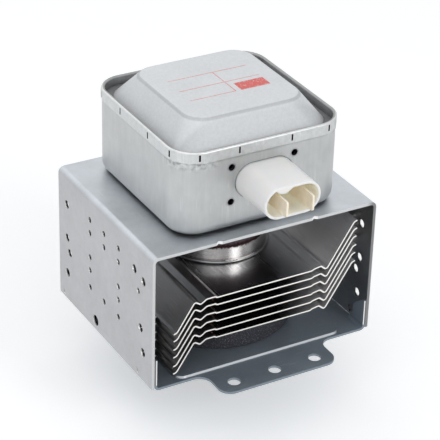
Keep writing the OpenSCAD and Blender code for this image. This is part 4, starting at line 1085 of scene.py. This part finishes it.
class MAGNETRON_OT_stage(bpy.types.Operator):
    """Pale floor, soft studio light and the camera"""

    bl_idname = "magnetron.stage"
    bl_label = "Stage"

    # Camera: degrees, and millimetres from the origin of the frame
    azimuth, elevation, roll = -30.23, 29.61, 1.68
    distance = 760.22
    aim = (3.16, 35.87)
    focal_px, frame_px, sensor = 1911.05, 440, 36
    # Lamps: name, place and size in metres, watts
    lamps = (("key", (-0.65, -0.65, 0.75), 1.2, 2.2),
             ("front", (0.34, -1.0, 0.6), 0.38, 2.7),
             ("top", (-0.25, 0.35, 0.92), 1.4, 1.6))
    lamp_aim = (0, 0, 0.04)
    sky, sky_strength = (0.95, 0.97, 1), 0.62
    floor_reach, floor_drop, floor_grey, floor_glow = 6, 0.0005, 0.9, 0.3

    def execute(self, context):
        scene = context.scene
        scene.view_settings.view_transform = "Standard"
        self.camera(scene)
        self.world(scene)
        self.floor()
        for lamp in self.lamps:
            self.lamp(*lamp)
        return {"FINISHED"}

    def camera(self, scene):
        a, e, r = (math.radians(v) for v in (self.azimuth, self.elevation, self.roll))
        back = Vector((math.sin(a) * math.cos(e), -math.cos(a) * math.cos(e), math.sin(e)))
        across = Vector((0, 0, 1)).cross(back).normalized()
        rise = back.cross(across)
        right = across * math.cos(r) + rise * math.sin(r)
        up = rise * math.cos(r) - across * math.sin(r)
        lens = bpy.data.cameras.new("camera")
        lens.sensor_width = self.sensor
        lens.lens = self.sensor * self.focal_px / self.frame_px
        lens.clip_start, lens.clip_end = 0.05, 20
        place = (right * self.aim[0] + up * self.aim[1] + back * self.distance) * MM
        scene.camera = link("camera", lens)
        scene.camera.matrix_world = Matrix.Translation(place) @ Matrix((right, up, back)).transposed().to_4x4()

    def seen(self, graph):
        """1 for what the camera sees, straight or in metal and glass."""
        share, *others = (graph.node("ShaderNodeLightPath", out=name)
                          for name in ("Is Camera Ray", "Is Glossy Ray", "Is Transmission Ray"))
        for ray in others:
            share = share.sum("MAXIMUM", share, ray)
        return share

    def world(self, scene):
        """Soft light all round, with a white background where it is seen."""
        scene.world = bpy.data.worlds.new("studio")
        g = Graph(scene.world)
        soft = g.node("ShaderNodeBackground", inputs={0: self.sky, 1: self.sky_strength})
        white = g.node("ShaderNodeBackground", inputs={0: (1, 1, 1), 1: 1})
        g.end("ShaderNodeOutputWorld", g.node("ShaderNodeMixShader", inputs={0: self.seen(g), 1: soft, 2: white}))

    def floor(self):
        """Pale floor that keeps the shadow, lifted to white where it is seen."""
        reach, low = self.floor_reach, CAD_BOX[0][2] - self.floor_drop
        mesh = bpy.data.meshes.new("floor")
        mesh.from_pydata([(x * reach, y * reach, low) for x, y in ((-1, -1), (1, -1), (1, 1), (-1, 1))],
                         [], [(0, 1, 2, 3)])
        material = bpy.data.materials.new("floor")
        g = Graph(material)
        pale = g.node("ShaderNodeBsdfDiffuse", inputs={0: [self.floor_grey] * 3})
        glow = g.node("ShaderNodeEmission", inputs={1: self.seen(g) * self.floor_glow})
        g.end("ShaderNodeOutputMaterial", g.node("ShaderNodeAddShader", inputs={0: pale, 1: glow}))
        link("floor", mesh, material)

    def lamp(self, name, place, size, watts):
        light = bpy.data.lights.new(name, "AREA")
        light.size, light.energy = size, watts
        aim = (Vector(self.lamp_aim) - Vector(place)).to_track_quat("-Z", "Y")
        link(name, light).matrix_world = Matrix.Translation(place) @ aim.to_matrix().to_4x4()


PIECES = (MAGNETRON_OT_yoke, MAGNETRON_OT_base, MAGNETRON_OT_fins, MAGNETRON_OT_box, MAGNETRON_OT_lid,
          MAGNETRON_OT_connector, MAGNETRON_OT_gasket, MAGNETRON_OT_tube, MAGNETRON_OT_stage)


class MAGNETRON_PT_panel(bpy.types.Panel):
    """The magnetron's pieces, sizes and colours in the sidebar"""

    bl_idname = "MAGNETRON_PT_panel"
    bl_label = "Magnetron"
    bl_space_type = "VIEW_3D"
    bl_region_type = "UI"
    bl_category = "Magnetron"

    def draw(self, context):
        for group in (context.scene.magnetron_sizes, context.scene.magnetron_colours):
            for key in group.bl_rna.properties.keys():
                if key not in ("rna_type", "name"):
                    self.layout.prop(group, key)
        for piece in PIECES:
            self.layout.operator(piece.bl_idname)


CLASSES = (MagnetronSizes, MagnetronColours, *PIECES, MAGNETRON_PT_panel)


def register():
    for item in CLASSES:
        bpy.utils.register_class(item)
    bpy.types.Scene.magnetron_sizes = bpy.props.PointerProperty(type=MagnetronSizes)
    bpy.types.Scene.magnetron_colours = bpy.props.PointerProperty(type=MagnetronColours)


def unregister():
    del bpy.types.Scene.magnetron_colours
    del bpy.types.Scene.magnetron_sizes
    for item in reversed(CLASSES):
        bpy.utils.unregister_class(item)


def main():
    register()
    for piece in PIECES:
        group, name = piece.bl_idname.split(".")
        getattr(getattr(bpy.ops, group), name)()


if __name__ == "__main__":
    main()
